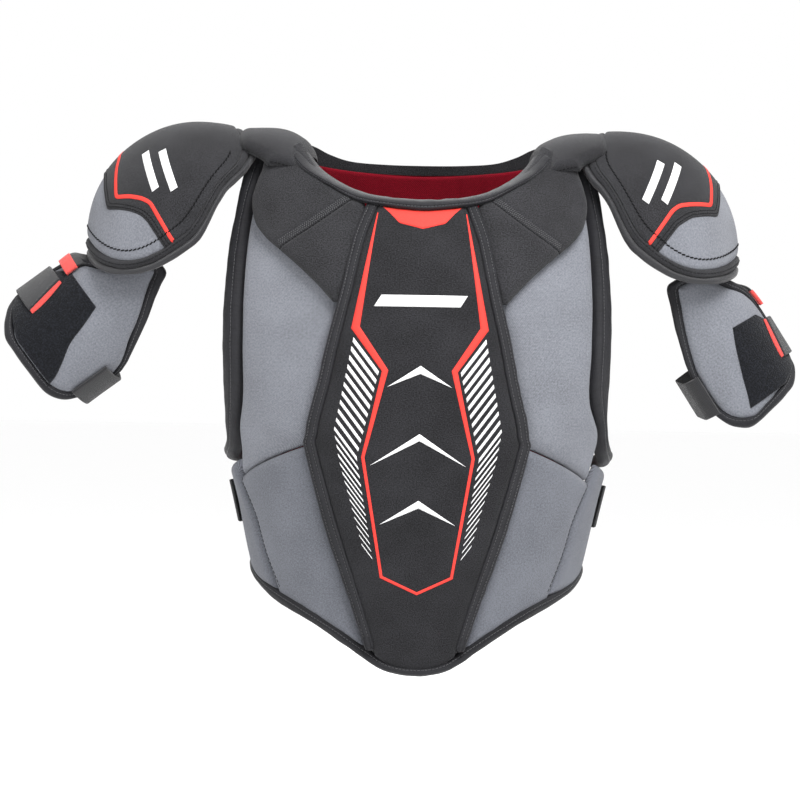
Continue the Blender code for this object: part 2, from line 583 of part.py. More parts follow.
def cap(name, arm):
    surface = cap_surface(arm)
    pivot = cap_hinge(arm)
    width = CAP_TAPE_WIDTH
    turn_width = width / CAP_DEPTH

    def outline(inset, inset_turn):
        return rounded_patch(arm["cap_reach"], arm["cap_half_turn"], inset, 10, 8,
                             inset_turn=inset_turn)

    outside = outline(0.0, 0.0)
    inside = outline(width, turn_width)
    field = outline(width + GAP * 1.5, turn_width + 0.009)
    edge_ring(f"{name}_cap_binding", outside, inside, surface, CAP_TAPE, SATIN_TAPE, pivot)
    slab(f"{name}_cap_cover", field, surface, CAP_COVER, GREY_FABRIC, pivot)
    slab(f"{name}_cap_shell", field, surface, CAP_SHELL, PLASTIC, pivot)
    slab(f"{name}_cap_liner", field, surface, CAP_LINER, FOAM, pivot)


def guard_outline(arm, inset):
    """Edges of the guard's shield shape with its tongue, moved in by inset."""
    turn_inset = inset / 0.050
    result = []
    for edge, sign in ((arm["guard_upper"], 1), (arm["guard_lower"], -1)):
        last = len(edge) - 1
        line = []
        for i, (along, turn) in enumerate(edge):
            along += inset * (1 - 2 * i / last)
            line.append((along, math.radians(turn) + sign * turn_inset))
        result.append(line)
    return result


def guard(name, arm):
    surface = guard_surface(arm)
    pivot = guard_hinge(arm)

    def shield(inset):
        upper, lower = guard_outline(arm, inset)
        return patch(upper, lower, 11, 8)

    width = GUARD_TAPE_WIDTH
    edge_ring(f"{name}_guard_binding", shield(0.0), shield(width), surface, GUARD_TAPE,
              SATIN_TAPE, pivot)
    field = shield(width + GUARD_SEAM)
    slab(f"{name}_guard_pad", field, surface, GUARD_PAD, GREY_FABRIC, pivot)
    slab(f"{name}_guard_insert", field, surface, GUARD_INSERT, PLASTIC, pivot)
    slab(f"{name}_guard_liner", field, surface, GUARD_LINER, FOAM, pivot)

    def degrees(points):
        return [(along, math.radians(turn)) for along, turn in points]

    pile = patch(degrees(arm["pile_upper"]), degrees(arm["pile_lower"]), 7, 5)
    slab(f"{name}_guard_loop_patch", pile, surface, GUARD_PATCH, LOOP_PILE, pivot)


def strap_pivot(arm):
    """Where the strap's free end folds away from the guard's loop patch."""
    return guard_surface(arm)(strap_middle(STRAP_FOLD_TURN), math.radians(STRAP_FOLD_TURN),
                              STRAP_LAYER[1])


def strap_middle(turn):
    """The strap's middle line: it climbs a little along the arm as it goes round the back."""
    return 0.015 + 0.012 * (40 - turn) / 260


def arm_strap(name, arm):
    """Elastic strap round the back of the arm, and its free end with the hook tab."""
    surface = guard_surface(arm)

    def band(turns):
        """Grid rows from (turn, half width) pairs."""
        return [[(strap_middle(turn) - half, math.radians(turn)),
                 (strap_middle(turn) + half, math.radians(turn))] for turn, half in turns]

    half = STRAP_WIDTH / 2
    sewn_turn = STRAP_FOLD_TURN - 210.4
    fixed_part = [(STRAP_FOLD_TURN - 0.4 + (sewn_turn - STRAP_FOLD_TURN) * k / 21, half)
                  for k in range(22)]
    slab(f"{name}_arm_strap", band(fixed_part), surface, STRAP_LAYER, ELASTIC, guard_hinge(arm))
    free_end = [(STRAP_FOLD_TURN + 8.0 * k, half) for k in range(7)]
    free_end += [(turn, half - 0.003) for turn in (39.5, 45.0, 50.0)]
    slab(f"{name}_arm_strap_tab", band(free_end), surface, STRAP_LAYER, ELASTIC, strap_pivot(arm))


def adjuster(name, arm):
    """Webbing that hangs the guard from the inside of the cap."""
    down, out = arm_frame(arm["side"], arm["guard_tilt"])
    centre = Vector((arm["guard"][0], 0, arm["guard"][1]))

    def surface(across, along, layer):
        return centre + down * along + out * layer - Vector((0, across, 0))

    ribbon(f"{name}_adjuster_webbing", curve(ADJUSTER_PATH, 10), ADJUSTER_WIDTH / 2,
           ADJUSTER_THICKNESS, surface, ELASTIC, guard_hinge(arm))


def build():
    for obj in list(bpy.data.objects):
        bpy.data.objects.remove(obj, do_unlink=True)
    front_vest()
    back_vest()
    for name, arm in ARMS.items():
        shoulder_top(name, arm["side"])
        side_strap(name, arm["side"])
        cap(name, arm)
        guard(name, arm)
        arm_strap(name, arm)
        adjuster(name, arm)


build()
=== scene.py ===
"""Looks of the hockey shoulder pads: padding, tapes, linings, webbing, stitches and printed trim.

Metres, +Z up.  The wearer faces -Y, so the wearer's right side is at -X.  Every soft piece is
laid on the same curved surfaces as the CAD part: the torso, the shoulder arch, a shoulder cap
or an upper-arm tube.  A layer is the distance outward from such a surface.
"""

import math
from collections import namedtuple

import bpy
import numpy as np
from mathutils import Matrix, Vector
from mathutils.bvhtree import BVHTree


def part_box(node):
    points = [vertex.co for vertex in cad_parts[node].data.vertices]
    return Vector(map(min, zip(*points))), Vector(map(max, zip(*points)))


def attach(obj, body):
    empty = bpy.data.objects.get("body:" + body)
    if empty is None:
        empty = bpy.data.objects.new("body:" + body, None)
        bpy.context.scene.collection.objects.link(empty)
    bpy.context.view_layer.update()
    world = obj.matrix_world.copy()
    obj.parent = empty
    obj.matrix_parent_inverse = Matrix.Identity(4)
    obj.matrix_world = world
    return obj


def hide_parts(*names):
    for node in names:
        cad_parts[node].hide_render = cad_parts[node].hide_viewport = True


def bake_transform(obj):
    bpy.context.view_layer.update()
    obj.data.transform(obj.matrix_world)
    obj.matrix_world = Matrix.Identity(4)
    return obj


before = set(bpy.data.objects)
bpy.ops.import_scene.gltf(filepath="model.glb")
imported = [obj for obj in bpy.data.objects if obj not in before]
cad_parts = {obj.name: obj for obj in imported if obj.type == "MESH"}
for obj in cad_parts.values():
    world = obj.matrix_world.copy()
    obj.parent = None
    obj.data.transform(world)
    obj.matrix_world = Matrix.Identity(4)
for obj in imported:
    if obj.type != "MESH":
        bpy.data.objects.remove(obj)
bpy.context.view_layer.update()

# ---------------------------------------------------------------- driving dimensions

FACE_LAYER = 0.012                 # outer face of the vest's base padding
SIDE_STRETCH = {-1: 1.02, 1: 0.98}  # the worn vest hangs a little to the wearer's right
SIDES = (("right", -1), ("left", 1))
FRONT = "front_vest"
HARNESS = "harness"

# Torso: half width, and depth in front of and behind the side line, at each height.
HALF_WIDTH = [(-0.47, 0.122), (-0.4, 0.131), (-0.33, 0.146), (-0.27, 0.161),
              (-0.24, 0.172), (-0.18, 0.181), (-0.1, 0.18), (0.0, 0.176), (0.03, 0.172)]
FRONT_DEPTH = [(-0.47, 0.092), (-0.4, 0.099), (-0.3, 0.109), (-0.2, 0.112),
               (-0.12, 0.103), (-0.06, 0.078), (0.0, 0.042), (0.03, 0.026)]
BACK_DEPTH = [(-0.47, 0.084), (-0.4, 0.09), (-0.3, 0.102), (-0.2, 0.11),
              (-0.12, 0.103), (-0.06, 0.088), (0.0, 0.06), (0.03, 0.046)]
ARCH_DEPTH = 0.048
ARCH_RISE = 0.022

LINER = (0.0, 0.0022)
BASE_PAD = (0.0032, 0.0116)
TAPE = (0.0, 0.0135)
PLATE_COVER = (0.0156, 0.0205)
PLATE_TAPE = (0.0124, 0.0208)
CLAVICLE_PAD = (0.0141, 0.0235)
SIDE_STRAP = (0.0141, 0.0165)
COLLAR_PAD = (0.0, 0.013)
COLLAR_LINER = (0.0015, -0.0024)
SPINE_PAD = (0.0156, 0.0225)
BLADE_PAD = (0.0124, 0.0205)
SIDE_STRAP_TURNS = (93, 130)       # degrees from the front centre
SIDE_STRAP_HEIGHT = -0.315

CAP_TAPE = (-0.0125, 0.0012)
CAP_COVER = (-0.0062, 0.0)
CAP_LINER = (-0.0121, -0.0094)
CAP_SHELL = (-0.0092, -0.0066)
CAP_OVERLAY = (-0.0012, 0.0017)
CAP_TAPE_WIDTH = 0.009
CAP_DEPTH = 0.078                  # half size from front to back
CAP_DEPTH_CENTRE = 0.01
CAP_DEPTH_REACH = 0.122
CAP_WEAVE = (1.0, 0.09)
CAP_RIM_SHARE = 0.985              # the rim ends a little inside its reach along the arm

GUARD_PAD = (-0.0062, 0.0)
GUARD_LINER = (-0.0114, -0.0088)
GUARD_TAPE = (-0.0118, 0.001)
GUARD_TAPE_WIDTH = 0.008
PILE_PATCH = (-0.0006, 0.002)
STRAP_LOOP = (0.0022, 0.0036)
GUARD_SEAM = 0.72                  # place of the seam across the tape
STRAP_LAYER = (0.0027, 0.0048)
STRAP_WIDTH = 0.038
STRAP_FOLD_TURN = -10              # where the strap's free end begins
STRAP_TIP_TURN = 50                # where it ends
STRAP_TIP_SKEW = 4.4
STRAP_GAP_TURN = 0.4
STRAP_WRAP = 210                   # how far the strap runs round the back of the arm
STRAP_MIDDLE = 0.0188              # place along the arm of its middle line at the climb turn
STRAP_CLIMB = 0.012 / 260          # and how much it rises with each degree from there
STRAP_CLIMB_TURN = 40
STRAP_FREE_REACH = 0.03            # the loop keeps its round shape this far below the axis
GUARD_MEAN_RADIUS = 0.05
GUARD_FLATTEN = 0.78               # the tube's depth over its width
ADJUSTER_WIDTH = 0.024
ADJUSTER_THICKNESS = 0.0016
# Each arm hangs at its own angle.  centre and guard are (x, z) points on the arm's axis.
# adjuster is the webbing's way from under the cap onto the guard: along, out from its surface.
ARMS = {
    "right": dict(side=-1, centre=(-0.1979, -0.0793), radius=0.103, cap_tilt=36.9,
                  cap_reach=(-0.0935, 0.095), cap_turns=(94.5, 79.0), cap_powers=(4.5, 4.0),
                  guard=(-0.2967, -0.1539), guard_tilt=36.9, guard_radius=0.0555,
                  guard_turn=0.0, adjuster_turn=32.0, strap_reach=0.2,
                  adjuster=[(-0.058, -0.0179), (-0.046, -0.0154), (-0.038, -0.0129),
                            (-0.03, -0.0045), (-0.022, 0.0028), (-0.008, 0.003)],
                  overlay=[(0.037, 0), (0.0407, 20), (0.0521, 43.5), (0.0354, 59.5), (0.0303, 65.6),
                           (0.029, 70.4), (0.03, 84.5)],
                  stripe=[(0.012, 0), (0.0183, 19), (0.0386, 45), (0.0279, 52.6), (0.0203, 59),
                          (0.0166, 64), (0.02, 84.5)],
                  guard_upper=[(-0.082, 60), (-0.062, 57), (-0.042, 52), (-0.027, 32),
                               (-0.012, 12), (0.004, 2), (0.022, -4), (0.04, 3), (0.057, 30),
                               (0.07, 55)],
                  guard_lower=[(-0.082, 102), (-0.066, 110), (-0.041, 130), (-0.02, 145),
                               (0.0, 166), (0.018, 176), (0.036, 172), (0.05, 160),
                               (0.062, 148), (0.07, 129)],
                  pile_upper=[(-0.012, 40), (0.006, 18), (0.024, 12), (0.04, 18), (0.052, 42),
                              (0.061, 68)],
                  pile_lower=[(-0.013, 88), (0.006, 95), (0.024, 101), (0.04, 111),
                              (0.052, 118), (0.061, 121)]),
    "left": dict(side=1, centre=(0.1764, -0.0866), radius=0.108, cap_tilt=38.5,
                 cap_reach=(-0.0885, 0.0965), cap_turns=(88.5, 72.0), cap_powers=(4.5, 3.3),
                 guard=(0.264, -0.1716), guard_tilt=57.3, guard_radius=0.0545,
                 guard_turn=-20.0, adjuster_turn=20.0, strap_reach=0.042,
                 adjuster=[(-0.068, -0.0205), (-0.057, -0.0185), (-0.05, -0.016),
                           (-0.04, -0.0075), (-0.03, 0.0005), (-0.012, 0.003)],
                 overlay=[(0.031, 0), (0.0354, 18), (0.0466, 38), (0.0288, 55), (0.0243, 64),
                          (0.025, 80)],
                 stripe=[(0.009, 0), (0.0159, 15), (0.0349, 39), (0.0134, 55.7), (0.0113, 60.6),
                         (0.0137, 80)],
                 guard_upper=[(-0.072, 74), (-0.057, 66), (-0.045, 56), (-0.032, 38),
                              (-0.016, 25), (0.004, 20), (0.022, 18), (0.038, 20), (0.052, 34),
                              (0.064, 56)],
                 guard_lower=[(-0.072, 122), (-0.056, 128), (-0.034, 137), (-0.014, 144),
                              (0.008, 150), (0.028, 152), (0.046, 150), (0.06, 144),
                              (0.07, 134), (0.076, 122)],
                 pile_upper=[(-0.008, 54), (0.006, 36), (0.022, 28), (0.036, 30), (0.049, 46),
                             (0.058, 70)],
                 pile_lower=[(-0.009, 88), (0.006, 95), (0.022, 101), (0.036, 106),
                             (0.049, 110), (0.06, 114)]),
}

# ---------------------------------------------------------------- outlines
# (x, z) on the wearer's left half, or ("turn", degrees from the front centre, z).

NECK_TOP = [(0.105, -0.001), (0.0905, -0.019), (0.069, -0.0335), (0.046, -0.0425),
            (0.022, -0.0462), (0.0, -0.0472)]
NECK_BOTTOM = [(0.109, -0.01), (0.098, -0.023), (0.078, -0.036), (0.0555, -0.0495),
               (0.026, -0.0553), (0.0, -0.058)]
ARMHOLE_OUTER = [(0.15, -0.002), (0.158, -0.026), (0.164, -0.06), (0.169, -0.092), (0.172, -0.131),
                 (0.173, -0.172), (0.172, -0.2), (0.169, -0.24), ("turn", 77, -0.261),
                 ("turn", 104, -0.268)]
ARMHOLE_INNER = [(0.138, -0.008), (0.146, -0.031), (0.1535, -0.063), (0.157, -0.094), (0.159, -0.131),
                 (0.159, -0.173), (0.158, -0.22), ("turn", 66, -0.254), ("turn", 80, -0.275),
                 ("turn", 104, -0.281)]
PLATE_OUTER = [(0.0455, -0.049), (0.057, -0.08), (0.067, -0.13), (0.0765, -0.17),
               (0.0845, -0.21), (0.093, -0.25), (0.0925, -0.27), (0.072, -0.345),
               (0.0405, -0.44)]
PLATE_INNER = [(0.036, -0.051), (0.0475, -0.085), (0.057, -0.13), (0.0662, -0.17),
               (0.0742, -0.21), (0.0828, -0.25), (0.0825, -0.269), (0.062, -0.342),
               (0.0325, -0.438)]
SIDE_SEAM = [(0.158, -0.2928), (0.144, -0.325), (0.1345, -0.357), (0.1215, -0.3885)]
HEM_OUTER = [(0.0, -0.4605), (0.029, -0.455), (0.061, -0.436), (0.094, -0.4153),
             (0.125, -0.3995), ("turn", 75, -0.388), ("turn", 90, -0.377), ("turn", 107, -0.37)]
HEM_INNER = [(0.0, -0.4522), (0.0215, -0.449), (0.0435, -0.4362), (0.0658, -0.4215),
             (0.098, -0.402), ("turn", 72, -0.381), ("turn", 90, -0.367), ("turn", 107, -0.36)]
CLAVICLE_OUTER = [(0.133, -0.002), (0.135, -0.018), (0.14, -0.034), (0.143, -0.05),
                  (0.14, -0.068), (0.131, -0.082), (0.1185, -0.0935), (0.106, -0.1045),
                  (0.0885, -0.1215), (0.0735, -0.1385)]
CLAVICLE_INNER = [(0.105, 0.004), (0.093, -0.016), (0.082, -0.027), (0.07, -0.037),
                  (0.058, -0.0445), (0.0485, -0.055), (0.056, -0.084), (0.062, -0.11),
                  (0.0685, -0.1385)]
CLAVICLE_SEAM = [(0.119, -0.0937), (0.0905, -0.073), (0.057, -0.0475)]

# Back outlines: ("back", degrees from the back centre, z).
BACK_OUTER = [("back", 56, -0.035), ("back", 61, -0.06), ("back", 63, -0.12),
              ("back", 63, -0.2), ("back", 62, -0.27), ("back", 58, -0.33),
              ("back", 48, -0.375), ("back", 25, -0.398), ("back", 0, -0.404)]
BACK_INNER = [("back", 51, -0.037), ("back", 56.5, -0.06), ("back", 58.5, -0.12),
              ("back", 58.5, -0.2), ("back", 57, -0.265), ("back", 53.5, -0.322),
              ("back", 44, -0.362), ("back", 24, -0.385), ("back", 0, -0.391)]
COLLAR_TOP = [("back", 0, -0.006), ("back", 12, -0.0055), ("back", 22, -0.0035),
              ("back", 29, 0.002), ("back", 34, 0.008), ("back", 39, 0.012)]
COLLAR_BOTTOM = [("back", 0, -0.03), ("back", 12, -0.0295), ("back", 22, -0.029),
                 ("back", 30, -0.0278), ("back", 36, -0.0255), ("back", 40, -0.0228)]
BODY_EDGE = [("back", 46, -0.0225), ("back", 54, -0.06), ("back", 57.5, -0.12),
             ("back", 57.5, -0.2), ("back", 56, -0.265), ("back", 52.5, -0.323),
             ("back", 43, -0.3665)]
BODY_BOW = (-0.0045, -0.031)
# Quilting seams of the back panel: degrees from the back centre, heights.
BACK_SEAMS = [((20, 24, 30, 44), (-0.25, -0.285, -0.33, -0.372)),
              ((57, 44, 22), (-0.235, -0.243, -0.25))]
SPINE_EDGE = [("back", 10, -0.05), ("back", 13, -0.1), ("back", 14, -0.2),
              ("back", 12, -0.3), ("back", 9, -0.35)]
BLADE_INNER = [("back", 14, -0.052), ("back", 17, -0.1), ("back", 18, -0.18), ("back", 17, -0.235)]
BLADE_OUTER = [("back", 48, -0.04), ("back", 54, -0.09), ("back", 54, -0.16), ("back", 46, -0.215)]
BLADE_SEAM = [("back", 18.5, -0.06), ("back", 20.5, -0.1), ("back", 21.5, -0.18),
              ("back", 20.5, -0.226)]

# ---------------------------------------------------------------- surfaces

# at(a, b, layer) gives points; weave is the real length of one unit of a and of b.
Surface = namedtuple("Surface", "at weave")


def smooth_table(table, height):
    """Read a (height, value) table along a smooth curve, for an array of heights."""
    keys, values = np.array(table).T
    last = len(table) - 1
    before = np.maximum(np.arange(last + 1) - 1, 0)
    after = np.minimum(np.arange(last + 1) + 1, last)
    slopes = (values[after] - values[before]) / (keys[after] - keys[before])
    height = np.clip(height, keys[0], keys[-1])
    i = np.clip(np.searchsorted(keys, height, side="right") - 1, 0, last - 1)
    span = keys[i + 1] - keys[i]
    f = (height - keys[i]) / span
    return ((2 * f ** 3 - 3 * f ** 2 + 1) * values[i] + (f ** 3 - 2 * f ** 2 + f) * span * slopes[i]
            + (3 * f ** 2 - 2 * f ** 3) * values[i + 1] + (f ** 3 - f ** 2) * span * slopes[i + 1])


def points(x, y, z):
    return np.stack(np.broadcast_arrays(x, y, z), axis=-1)


def torso_at(turn, height, layer):
    """turn is the angle from the front centre towards the wearer's left."""
    width = smooth_table(HALF_WIDTH, height) + layer
    depth = np.where(np.cos(turn) > 0, smooth_table(FRONT_DEPTH, height),
                     smooth_table(BACK_DEPTH, height)) + layer
    return points(width * np.sin(turn), -depth * np.cos(turn), height)


TORSO = Surface(torso_at, (0.15, 1.0))


def arch(side):
    """Surface over one shoulder: across is a distance along X, turn runs from front to back."""
    def at(across, turn, layer):
        return points(side * across, (ARCH_DEPTH + layer) * np.sin(turn),
                      (ARCH_RISE + layer) * np.cos(turn) - ARCH_RISE)
    return Surface(at, (1.0, 0.055))


def arm_frame(side, tilt):
    """Directions down the arm and outward-up from it, in the XZ plane."""
    angle = math.radians(tilt)
    down = np.array((side * math.cos(angle), 0, -math.sin(angle)))
    out = np.array((side * math.sin(angle), 0, math.cos(angle)))
    return down, out


def cap_surface(arm):
    """A dome about the shoulder joint: along runs down the arm, turn 0 is outward-up."""
    down, out = arm_frame(arm["side"], arm["cap_tilt"])
    centre = np.array((arm["centre"][0], 0, arm["centre"][1]))

    def at(along, turn, layer):
        reach = np.sqrt(np.maximum(arm["radius"] ** 2 - along ** 2, 0.0))
        depth = CAP_DEPTH * np.sqrt(1 - ((along - CAP_DEPTH_CENTRE) / CAP_DEPTH_REACH) ** 2)
        lift = np.expand_dims(np.asarray(1 + layer / arm["radius"]), -1)
        radial = (np.expand_dims(along, -1) * down
                  + np.expand_dims(reach * np.cos(turn), -1) * out
                  + np.expand_dims(-depth * np.sin(turn), -1) * np.array((0, 1, 0)))
        return centre + radial * lift
    return Surface(at, CAP_WEAVE)


def guard_surface(arm):
    """A flattened tube round the upper arm: turn 0 is outward-up and 90 degrees is the front."""
    down, out = arm_frame(arm["side"], arm["guard_tilt"])
    centre = np.array((arm["guard"][0], 0, arm["guard"][1]))

    def at(along, turn, layer):
        turn = turn + math.radians(arm["guard_turn"])
        rise = (arm["guard_radius"] + layer) * np.cos(turn)
        forward = (arm["guard_radius"] * GUARD_FLATTEN + layer) * np.sin(turn)
        along, rise, forward = (np.expand_dims(v, -1) for v in
                                np.broadcast_arrays(along, rise, forward))
        return centre + along * down + rise * out - forward * np.array((0, 1, 0))
    return Surface(at, (1.0, 0.05))


# ---------------------------------------------------------------- outline tools


def even(count):
    return np.linspace(0.0, 1.0, count)


def clustered(count, bias=0.72):
    """Values from 0 to 1 that lie closer together near both ends."""
    s = even(count)
    return s - bias * np.sin(2 * np.pi * s) / (2 * np.pi)


def curve(given, at):
    """Points at parameters 0 to 1 of a smooth curve through the given points."""
    given = np.asarray(given, float)
    last = len(given) - 1
    position = np.asarray(at) * last
    i = np.minimum(position.astype(int), last - 1)
    f = (position - i)[:, None]
    a, b, c, d = (given[np.clip(i + j, 0, last)] for j in (-1, 0, 1, 2))
    return 0.5 * (2 * b + (c - a) * f + (2 * a - 5 * b + 4 * c - d) * f ** 2
                  + (3 * b - a - 3 * c + d) * f ** 3)


def on_front(x, z, face=FACE_LAYER):
    """(turn, height) of a point on the front, given by x and z."""
    stretch = np.where(np.asarray(x) < 0, SIDE_STRETCH[-1], SIDE_STRETCH[1])
    return np.stack((np.arcsin(x * stretch / (smooth_table(HALF_WIDTH, z) + face)), z), -1)


def on_torso(outline, side):
    """Turn an outline's points into (turn, height) on one side of the torso."""
    result = []
    for point in outline:
        if point[0] == "turn":
            result.append((side * math.radians(point[1]), point[2]))
        elif point[0] == "back":
            result.append((math.pi - side * math.radians(point[1]), point[2]))
        else:
            result.append(tuple(on_front(side * point[0], point[1])))
    return np.array(result)


def shift(outline, dx, dz):
    """Move an outline's (x, z) points."""
    return [(p[0] + dx, p[1] + dz) for p in outline]


def degrees(given):
    """(along, degrees) points with the angle in radians."""
    return np.array([(along, math.radians(turn)) for along, turn in given])


def patch(left, right, rows, cols, bow=(0.0, 0.0)):
    """A grid between two edges.  bow bends the first and last rows up or down."""
    down, across = clustered(rows), clustered(cols)
    left_edge, right_edge = curve(left, down), curve(right, down)
    share = across[None, :, None]
    grid = left_edge[:, None] * (1 - share) + right_edge[:, None] * share
    bend = bow[0] * (1 - down) ** 3 + bow[1] * down ** 3
    grid[..., 1] += bend[:, None] * (1 - (2 * across - 1) ** 2)[None, :]
    return grid


def half_patch(inner, outer, side, rows, cols, bow=(0.0, 0.0)):
    """A grid between two outlines on one side of the torso."""
    return patch(on_torso(inner, side), on_torso(outer, side), rows, cols, bow)


def full_patch(edge, rows, cols, bow=(0.0, 0.0)):
    """A grid between an outline and its mirror image."""
    return patch(on_torso(edge, -1), on_torso(edge, 1), rows, cols, bow)


def rim_index(rows, cols):
    """Indices of a grid's edge points, once round."""
    index = np.arange(rows * cols).reshape(rows, cols)
    return np.concatenate((index[0], index[1:-1, -1], index[-1, ::-1], index[1:-1, 0][::-1]))


def rim(grid):
    return grid.reshape(-1, grid.shape[-1])[rim_index(*grid.shape[:2])]


def lengths(line):
    """Distance along a line at each of its points."""
    return np.concatenate(((0.0,), np.cumsum(np.linalg.norm(np.diff(line, axis=0), axis=1))))


def resample(line, at, by=None):
    """Points of a polyline at parameters 0 to 1 of its length, or of the length of by."""
    s = lengths(line if by is None else by)
    return np.stack([np.interp(np.asarray(at) * s[-1], s, column) for column in line.T], -1)


def corners(given, step=0.002):
    """A polyline through sharp corners, with points every step."""
    given = np.asarray(given, float)
    result = [given[:1]]
    for a, b in zip(given, given[1:]):
        count = max(1, int(round(np.linalg.norm(b - a) / step)))
        result.append(a + (b - a) * even(count + 1)[1:, None])
    return np.concatenate(result)


def soften(loop, passes):
    """Round the corners of a closed loop of points."""
    for _ in range(passes):
        loop = (np.roll(loop, 1, 0) + 2 * loop + np.roll(loop, -1, 0)) / 4
    return loop


def ripple(place, size, seed):
    """Smooth unevenness between about -1 and 1, with waves about size long."""
    draw = np.random.default_rng(seed)
    total = np.zeros(place.shape[:-1])
    for _ in range(7):
        direction = draw.normal(size=3)
        direction /= np.linalg.norm(direction)
        wavelength = size * draw.uniform(0.7, 1.5)
        total += np.sin(place @ direction * 2 * np.pi / wavelength + draw.uniform(0, 2 * np.pi))
    return total / 3.5


def nearest(place, line):
    """Distance from each of many points to a line's points, and which one is nearest."""
    flat = place.reshape(-1, 3)
    best = np.full(len(flat), np.inf)
    which = np.zeros(len(flat), int)
    for start in range(0, len(line), 64):
        part = line[start:start + 64]
        distance = np.linalg.norm(flat[:, None] - part[None], axis=2)
        index = distance.argmin(1)
        value = distance[np.arange(len(flat)), index]
        closer = value < best
        best[closer] = value[closer]
        which[closer] = index[closer] + start
    return best.reshape(place.shape[:-1]), which.reshape(place.shape[:-1])


# ---------------------------------------------------------------- materials

MATERIALS = {}


def shader_material(name, roughness, sheen=0.0, specular=0.5):
    """A new node material; returns its node tree and its shader."""
    material = bpy.data.materials.new(name)
    material.use_nodes = True
    tree = material.node_tree
    shader = tree.nodes["Principled BSDF"]
    shader.inputs["Roughness"].default_value = roughness
    shader.inputs["Specular IOR Level"].default_value = specular
    if sheen:
        shader.inputs["Sheen Weight"].default_value = sheen
        shader.inputs["Sheen Roughness"].default_value = 0.5
    MATERIALS[name] = material
    return tree, shader


def node(tree, kind, inputs=None, **settings):
    made = tree.nodes.new("ShaderNode" + kind)
    for key, value in settings.items():
        setattr(made, key, value)
    for key, value in (inputs or {}).items():
        socket = made.inputs[key]
        if isinstance(value, bpy.types.NodeSocket):
            tree.links.new(value, socket)
        else:
            socket.default_value = value
    return made


def combine(tree, operation, a, b):
    return node(tree, "Math", {0: a, 1: b}, operation=operation).outputs[0]


def weighted(tree, *terms):
    """The sum of some values, each times its weight."""
    total = None
    for value, weight in terms:
        part = combine(tree, "MULTIPLY", value, weight)
        total = part if total is None else combine(tree, "ADD", total, part)
    return total


def cloth_coordinates(tree):
    """Metres along the cloth, from the piece's own weave map."""
    return node(tree, "UVMap", uv_map="weave").outputs["UV"]


def threads(tree, vector, pitch, angle=0.0, wobble=0.6):
    """Parallel threads with a pitch in metres, across the cloth at an angle."""
    turned = node(tree, "Mapping", {"Vector": vector, "Rotation": (0, 0, math.radians(angle))})
    wave = node(tree, "TexWave", {"Vector": turned.outputs[0], "Scale": 0.6283 / pitch,
                                  "Distortion": wobble, "Detail": 1.0, "Detail Scale": 2.0},
                bands_direction="X")
    return wave.outputs["Fac"]


def speckle(tree, vector, size, detail=2.0):
    noise = node(tree, "TexNoise", {"Vector": vector, "Scale": 1 / size, "Detail": detail,
                                    "Roughness": 0.6})
    return noise.outputs["Fac"]


def shade(tree, shader, colour, darker, lighter, factor, low=0.3, high=0.7):
    """Base colour from a darker to a lighter shade, by a factor stretched between low and high."""
    spread = node(tree, "MapRange", {"Value": factor, "From Min": low, "From Max": high})
    dark, light = ([c * scale for c in colour] + [1] for scale in (darker, lighter))
    mix = node(tree, "Mix", {0: spread.outputs[0], 6: dark, 7: light}, data_type="RGBA")
    tree.links.new(mix.outputs[2], shader.inputs["Base Color"])


def bump(tree, shader, height, distance):
    made = node(tree, "Bump", {"Height": height, "Distance": distance, "Strength": 1.0})
    tree.links.new(made.outputs[0], shader.inputs["Normal"])


def fabric(name, colour, pitch, contrast, depth, angle=45.0, roughness=0.85, sheen=0.25,
           grain=0.0011, cross=True, specular=0.3, woven=0.35):
    """Woven or knitted cloth: crossing threads, speckled yarn and slow shading across the piece."""
    tree, shader = shader_material(name, roughness, sheen, specular)
    cloth = cloth_coordinates(tree)
    weave = threads(tree, cloth, pitch, angle)
    if cross:
        weave = combine(tree, "MULTIPLY", weave, threads(tree, cloth, pitch, angle - 90))
    yarn = speckle(tree, cloth, grain)
    slow = speckle(tree, cloth, 0.045)
    mixed = weighted(tree, (weave, woven), (yarn, 1 - woven), (slow, 0.25))
    shade(tree, shader, colour, 1 - contrast, 1 + contrast, mixed, 0.42, 0.8)
    height = combine(tree, "ADD", weighted(tree, (weave, woven * 2.8)), yarn)
    bump(tree, shader, height, depth)


def webbing(name, colour, rib, along=True):
    """Elastic or grosgrain: raised ribs across the band and fine cords along it."""
    tree, shader = shader_material(name, 0.75, 0.15, 0.3)
    cloth = cloth_coordinates(tree)
    ribs = threads(tree, cloth, rib, 0.0 if along else 90.0, 0.2)
    cords = threads(tree, cloth, rib * 0.8, 90.0 if along else 0.0, 0.2)
    yarn = speckle(tree, cloth, 0.0009)
    shade(tree, shader, colour, 0.55, 1.5, weighted(tree, (ribs, 0.6), (yarn, 0.5)), 0.2, 0.85)
    bump(tree, shader, weighted(tree, (ribs, 1.0), (cords, 0.4)), 0.0004)


def pile(name, colour):
    """Loop pile: a dense felt of tiny curls."""
    tree, shader = shader_material(name, 0.95, 0.12, 0.1)
    cloth = cloth_coordinates(tree)
    cells = node(tree, "TexVoronoi", {"Vector": cloth, "Scale": 1 / 0.0013})
    curls = speckle(tree, cloth, 0.0012, 4.0)
    mixed = combine(tree, "MULTIPLY", cells.outputs["Distance"], curls)
    shade(tree, shader, colour, 0.35, 3.2, mixed, 0.05, 0.5)
    bump(tree, shader, mixed, 0.0009)


